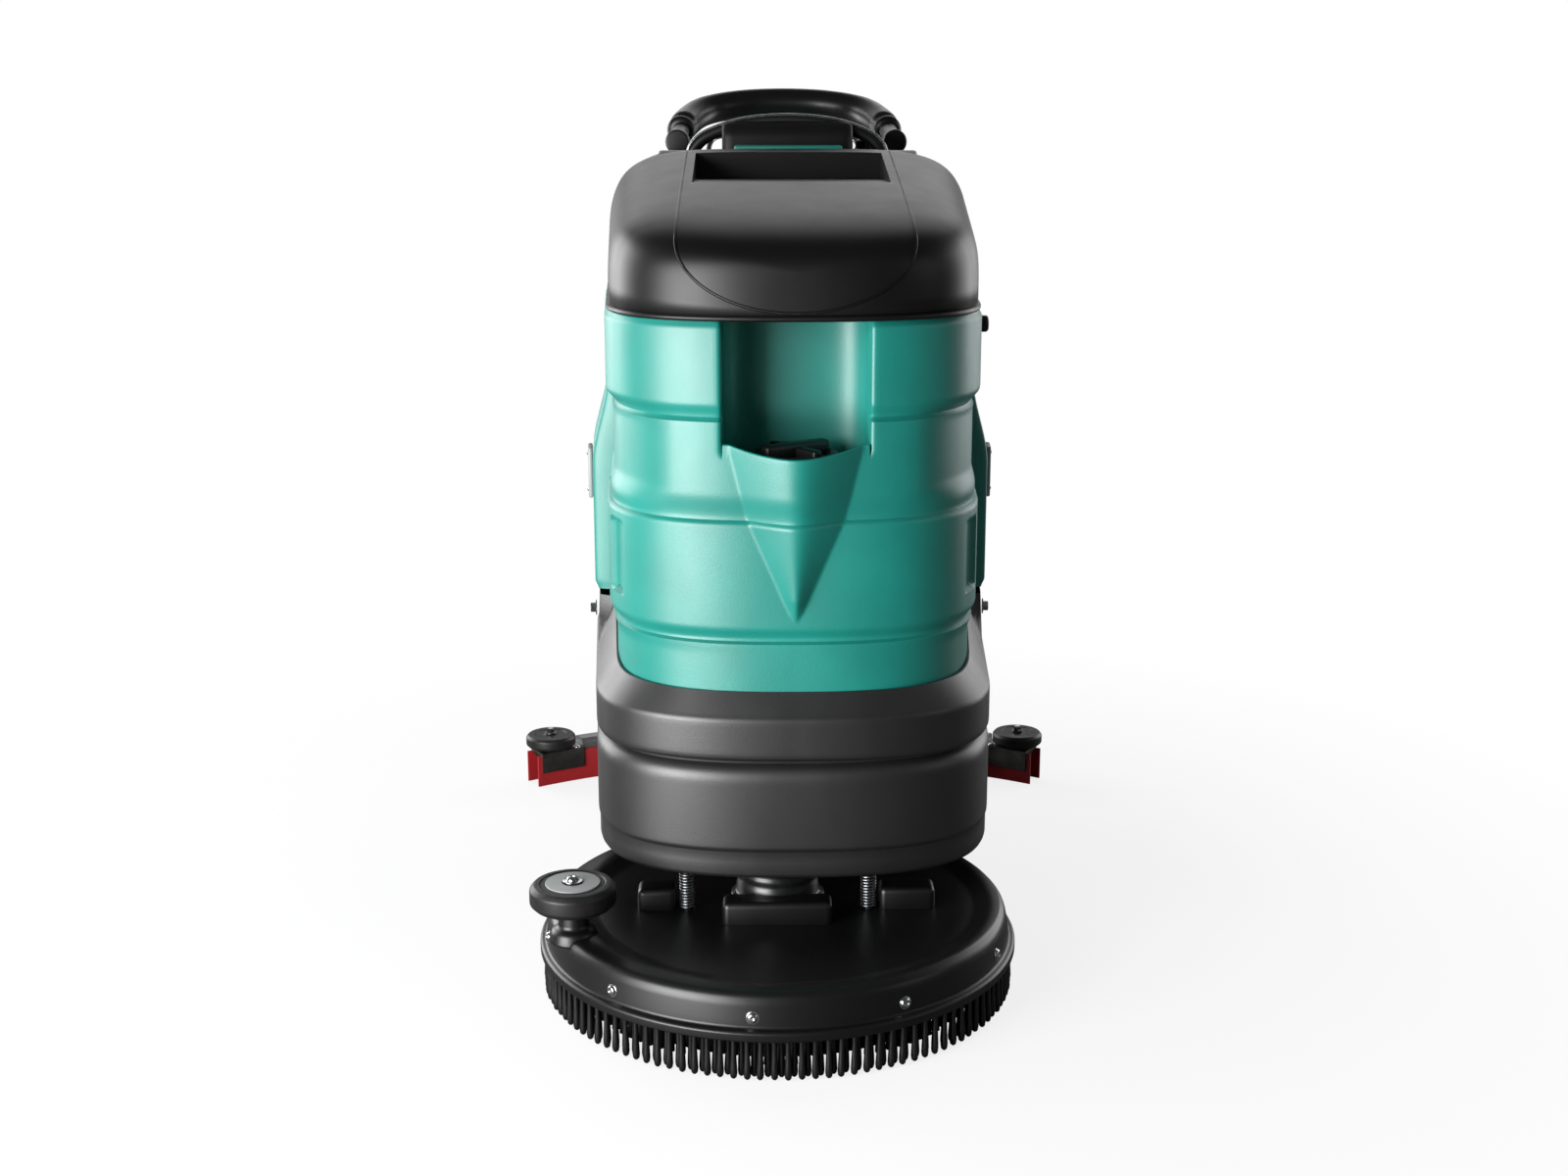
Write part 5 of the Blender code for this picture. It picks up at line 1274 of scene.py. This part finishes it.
class SCRUBBER_OT_squeegee(bpy.types.Operator):
    """Build the squeegee's bar, blades, end brackets, rollers and their bolts"""
    bl_idname = "scrubber.squeegee"
    bl_label = "Squeegee"

    def execute(self, context):
        r, half, thick, gap = SQUEEGEE_RADIUS, 0.015, 0.003, 0.0003
        bar_angle = np.arcsin(SQUEEGEE_HIGH.x / (r + half))
        bar = soften([(r - half, 0.040), (r + half, 0.040), (r + half, 0.060),
                      (r + half - 0.006, 0.064), (r - half + 0.006, 0.064), (r - half, 0.060)],
                     0.002, True)
        add_piece("squeegee_bar_extrusion", [arced(bar, -bar_angle, bar_angle, 60)], "squeegee",
                  "cast_aluminium", "cast_aluminium", ("squeegee_bar",))
        blade_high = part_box("rear_blade")[1]
        blade_angle = np.arcsin(blade_high.x / (r + half + gap + thick))
        for name, near in (("front", r - half - gap - thick), ("rear", r + half + gap)):
            section = soften([(near, 0.001), (near + thick, 0.001), (near + thick, blade_high.z),
                              (near, blade_high.z)], 0.0006, True, 2)
            add_piece(f"squeegee_blade_{name}", [arced(section, -blade_angle, blade_angle, 70)],
                      "squeegee", "red_polyurethane", "red_polyurethane", (f"{name}_blade",))
        face = r - half - thick - 2 * gap
        z = blade_high.z
        ell = soften([(face - 0.003, 0.022), (face, 0.022), (face, z + gap),
                      (r + half + 0.003, z + gap), (r + half + 0.003, z + 0.004),
                      (face - 0.003, z + 0.004)], 0.0012, True, 3)
        for name, side in (("left", -1), ("right", 1)):
            low, high = sorted((side * (bar_angle + 0.0008), side * (blade_angle - 0.0095)))
            roller_low, roller_high, (x, y, _) = spot(f"squeegee_roller_{name}")
            foot, radius = roller_low.z, (roller_high.x - roller_low.x) / 2
            bush = turned([(0, z + 0.002), (0.010, z + 0.002), (0.010, foot - 0.0003),
                           (0.005, foot - 0.0003), (0.005, foot + 0.0205), (0, foot + 0.0205)],
                          (x, y, 0), steps=24)
            bolts = [bolt_head((side * 0.318, y + 0.004, z + 0.0040), (0, 0, 1), 0.0045, 0.0030,
                               0.0060),
                     hex_head((x, y, foot + 0.0206), (0, 0, 1), 0.011, 0.0062, 0.0085)]
            add_piece(f"squeegee_end_bracket_{name}", [arced(ell, low, high, 10), bush],
                      "squeegee", "dark_galvanised_steel", "zinc_steel", (f"end_bracket_{name}",))
            profile = [(0.0053, foot), (radius - 0.004, foot), (radius, foot + 0.004),
                       (radius, foot + 0.0148), (radius - 0.0035, foot + 0.0188),
                       (0.024, foot + 0.0192), (0.0225, foot + 0.0180), (0.011, foot + 0.0180),
                       (0.010, foot + 0.0192), (0.0053, foot + 0.0192)]
            add_piece(f"squeegee_wheel_{name}",
                      [lathed(profile, 0.0014, (x, y, 0), steps=80, ring=True)],
                      f"squeegee_roller_{name}", "roller_rubber", "roller_rubber",
                      (f"squeegee_roller_{name}",), sharp=40)
            add_piece(f"squeegee_bolts_{name}", bolts, "squeegee", "bright_steel", "bright_steel",
                      sharp=30)
        return {"FINISHED"}


class SCRUBBER_OT_wheels(bpy.types.Operator):
    """Build the drive tyres, their hubs with bolts, and the castor wheels"""
    bl_idname = "scrubber.wheels"
    bl_label = "Wheels"

    def execute(self, context):
        blocks = context.scene.scrubber_sizes.tread_blocks
        for name, side in (("left", -1), ("right", 1)):
            low, high, centre = spot(f"tyre_{name}")
            half, radius = (high.x - low.x) / 2, (high.z - low.z) / 2
            add_piece(f"drive_tyre_{name}", [tyre_skin(centre, radius, half, 0.0743, blocks)],
                      f"wheel_{name}", "tyre_rubber", "tyre_rubber", (f"tyre_{name}",), sharp=40)
            rim = mirrored([(0.0105, half - 0.002), (0.030, half - 0.002), (0.034, 0.006),
                            (0.066, 0.006), (0.070, half - 0.004), (0.074, half - 0.004)])
            bolts = [bolt_head(centre + (side * 0.0062, 0.048 * cos(a), 0.048 * sin(a)),
                               (side, 0, 0), 0.006, 0.005, 0.008)
                     for a in 2 * pi * np.arange(5) / 5]
            add_piece(f"drive_hub_{name}", [lathed(rim, 0.002, centre, (1, 0, 0), 72, True)],
                      f"wheel_{name}", "cast_aluminium", "cast_aluminium", (f"wheel_hub_{name}",))
            add_piece(f"drive_hub_bolts_{name}", bolts, f"wheel_{name}", "bright_steel",
                      "bright_steel")
            low, high, centre = spot(f"castor_wheel_{name}")
            radius, half = (high.z - low.z) / 2, (high.x - low.x) / 2
            rim = mirrored([(0.0053, half), (0.012, half), (0.014, 0.0105), (0.028, 0.0085),
                            (0.031, 0.0120), (radius - 0.003, 0.012), (radius, 0.008)])
            add_piece(f"castor_tread_{name}", [lathed(rim, 0.0015, centre, (1, 0, 0), 64, True)],
                      f"castor_wheel_{name}", "tyre_rubber", "tyre_rubber",
                      (f"castor_wheel_{name}",), sharp=40)
        return {"FINISHED"}


class SCRUBBER_OT_fittings(bpy.types.Operator):
    """Build the side knob, plates, tank bolts, rear spigot, drain cap, lever knob and pedal pad"""
    bl_idname = "scrubber.fittings"
    bl_label = "Fittings"

    def execute(self, context):
        low, _, (_, y, z) = spot("side_knob")
        knob = [(0, 0), (0.0085, 0), (0.0100, 0.003), (0.0100, 0.0095), (0.0080, 0.0118),
                (0, 0.012)]
        black = ("machine", "textured_abs", "black_plastic")
        add_piece("side_knob_turned", [lathed(knob, 0.0015, (low.x, y, z), (1, 0, 0), 40)],
                  *black, ("side_knob",))
        tilt = 0.0696                     # slope of the flared side that the plates lie on
        for name, side in (("left", -1), ("right", 1)):
            low, high, (x, y, _) = spot(f"side_plate_{name}")
            plate = block((x - 0.0030, y - 0.020, low.z), (x + 0.0030, y + 0.020, high.z), 0.0024,
                          -side * tilt)
            screws = [bolt_head((x + side * 0.0030, y, height), (side, -tilt, 0), 0.0035, 0.0018)
                      for height in (low.z + 0.009, high.z - 0.009)]
            add_piece(f"side_plate_face_{name}", [plate], "machine", "plate_acrylic",
                      "plate_plastic", (f"side_plate_{name}",))
            wall = side * BODY_HALF * flare(0.0)
            tank_bolt = hex_head((wall - side * 0.0002, 0.0, 0.376), (side, -0.07, 0), 0.011,
                                 0.0075, 0.010)
            add_piece(f"side_screws_{name}", screws + [tank_bolt], "machine", "bright_steel",
                      "bright_steel", sharp=30)
        spigot = [(0.018, 0), (0.030, 0), (0.030, 0.006), (0.022, 0.008), (0.0222, 0.014),
                  (0.0205, 0.018), (0.0222, 0.018), (0.0205, 0.024), (0.0222, 0.024),
                  (0.0205, 0.030), (0.0222, 0.030), (0.024, 0.038), (0.022, 0.042), (0.018, 0.042)]
        outlet_x = -0.110
        add_piece("suction_spigot_turned", [lathed(
            spigot, 0.001, (outlet_x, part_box("suction_spigot")[0].y, 0.620), (0, 1, 0), 48, True,
            2)], *black, ("suction_spigot",))
        drain = [(0, 0), (0.030, 0), (0.030, 0.006), (0.022, 0.008), (0.022, 0.030),
                 (0.026, 0.031), (0.026, 0.042), (0.024, 0.044), (0, 0.044)]
        add_piece("drain_cap_turned", [
            lathed(drain, 0.0015, (outlet_x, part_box("drain_cap")[0].y, 0.480), (0, 1, 0), 48),
            block((outlet_x - 0.022, BODY_REAR + 0.040, 0.4765),
                  (outlet_x + 0.022, BODY_REAR + 0.0445, 0.4835), 0.002)], *black, ("drain_cap",))
        low, _, (x, y, _) = spot("lever_knob")
        ball = [(0, 0), (0.009, 0), (0.0105, 0.003), (0.0160, 0.013), (0.0150, 0.024),
                (0.0100, 0.032), (0, 0.034)]
        add_piece("lever_ball_knob", [lathed(ball, 0.006, (x, y, low.z), steps=40, bends=6)],
                  "lift_lever", "red_polyurethane", "red_polyurethane", ("lever_knob",), sharp=60)
        low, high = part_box("deck_pedal")
        ribs = [block((low.x + 0.004, high.y - 0.034 + 0.008 * i, high.z - 0.0006),
                      (high.x - 0.004, high.y - 0.030 + 0.008 * i, high.z + 0.0016), 0.001)
                for i in range(4)]
        add_piece("pedal_tread_ribs", ribs, "deck_pedal", "tyre_rubber", "tyre_rubber")
        return {"FINISHED"}


OPERATORS = (SCRUBBER_OT_stage, SCRUBBER_OT_packed, SCRUBBER_OT_tanks, SCRUBBER_OT_lid,
             SCRUBBER_OT_shell, SCRUBBER_OT_filler, SCRUBBER_OT_console, SCRUBBER_OT_handle,
             SCRUBBER_OT_deck, SCRUBBER_OT_skirt, SCRUBBER_OT_squeegee, SCRUBBER_OT_wheels,
             SCRUBBER_OT_fittings)


class SCRUBBER_PT_panel(bpy.types.Panel):
    """Sidebar panel with the sizes, the colours and one button for each group of pieces"""
    bl_idname = "SCRUBBER_PT_panel"
    bl_label = "Floor Scrubber"
    bl_space_type = "VIEW_3D"
    bl_region_type = "UI"
    bl_category = "Scrubber"

    def draw(self, context):
        for group in (context.scene.scrubber_sizes, context.scene.scrubber_colours):
            for name in group.__annotations__:
                self.layout.prop(group, name)
        for operator in OPERATORS:
            self.layout.operator(operator.bl_idname)


CLASSES = (ScrubberSizes, ScrubberColours, *OPERATORS, SCRUBBER_PT_panel)


def register():
    for item in CLASSES:
        bpy.utils.register_class(item)
    bpy.types.Scene.scrubber_sizes = bpy.props.PointerProperty(type=ScrubberSizes)
    bpy.types.Scene.scrubber_colours = bpy.props.PointerProperty(type=ScrubberColours)


def unregister():
    del bpy.types.Scene.scrubber_sizes
    del bpy.types.Scene.scrubber_colours
    for item in reversed(CLASSES):
        bpy.utils.unregister_class(item)


def main():
    """Build every piece in order."""
    register()
    for operator in OPERATORS:
        group, name = operator.bl_idname.split(".")
        getattr(getattr(bpy.ops, group), name)()


if __name__ == "__main__":
    main()
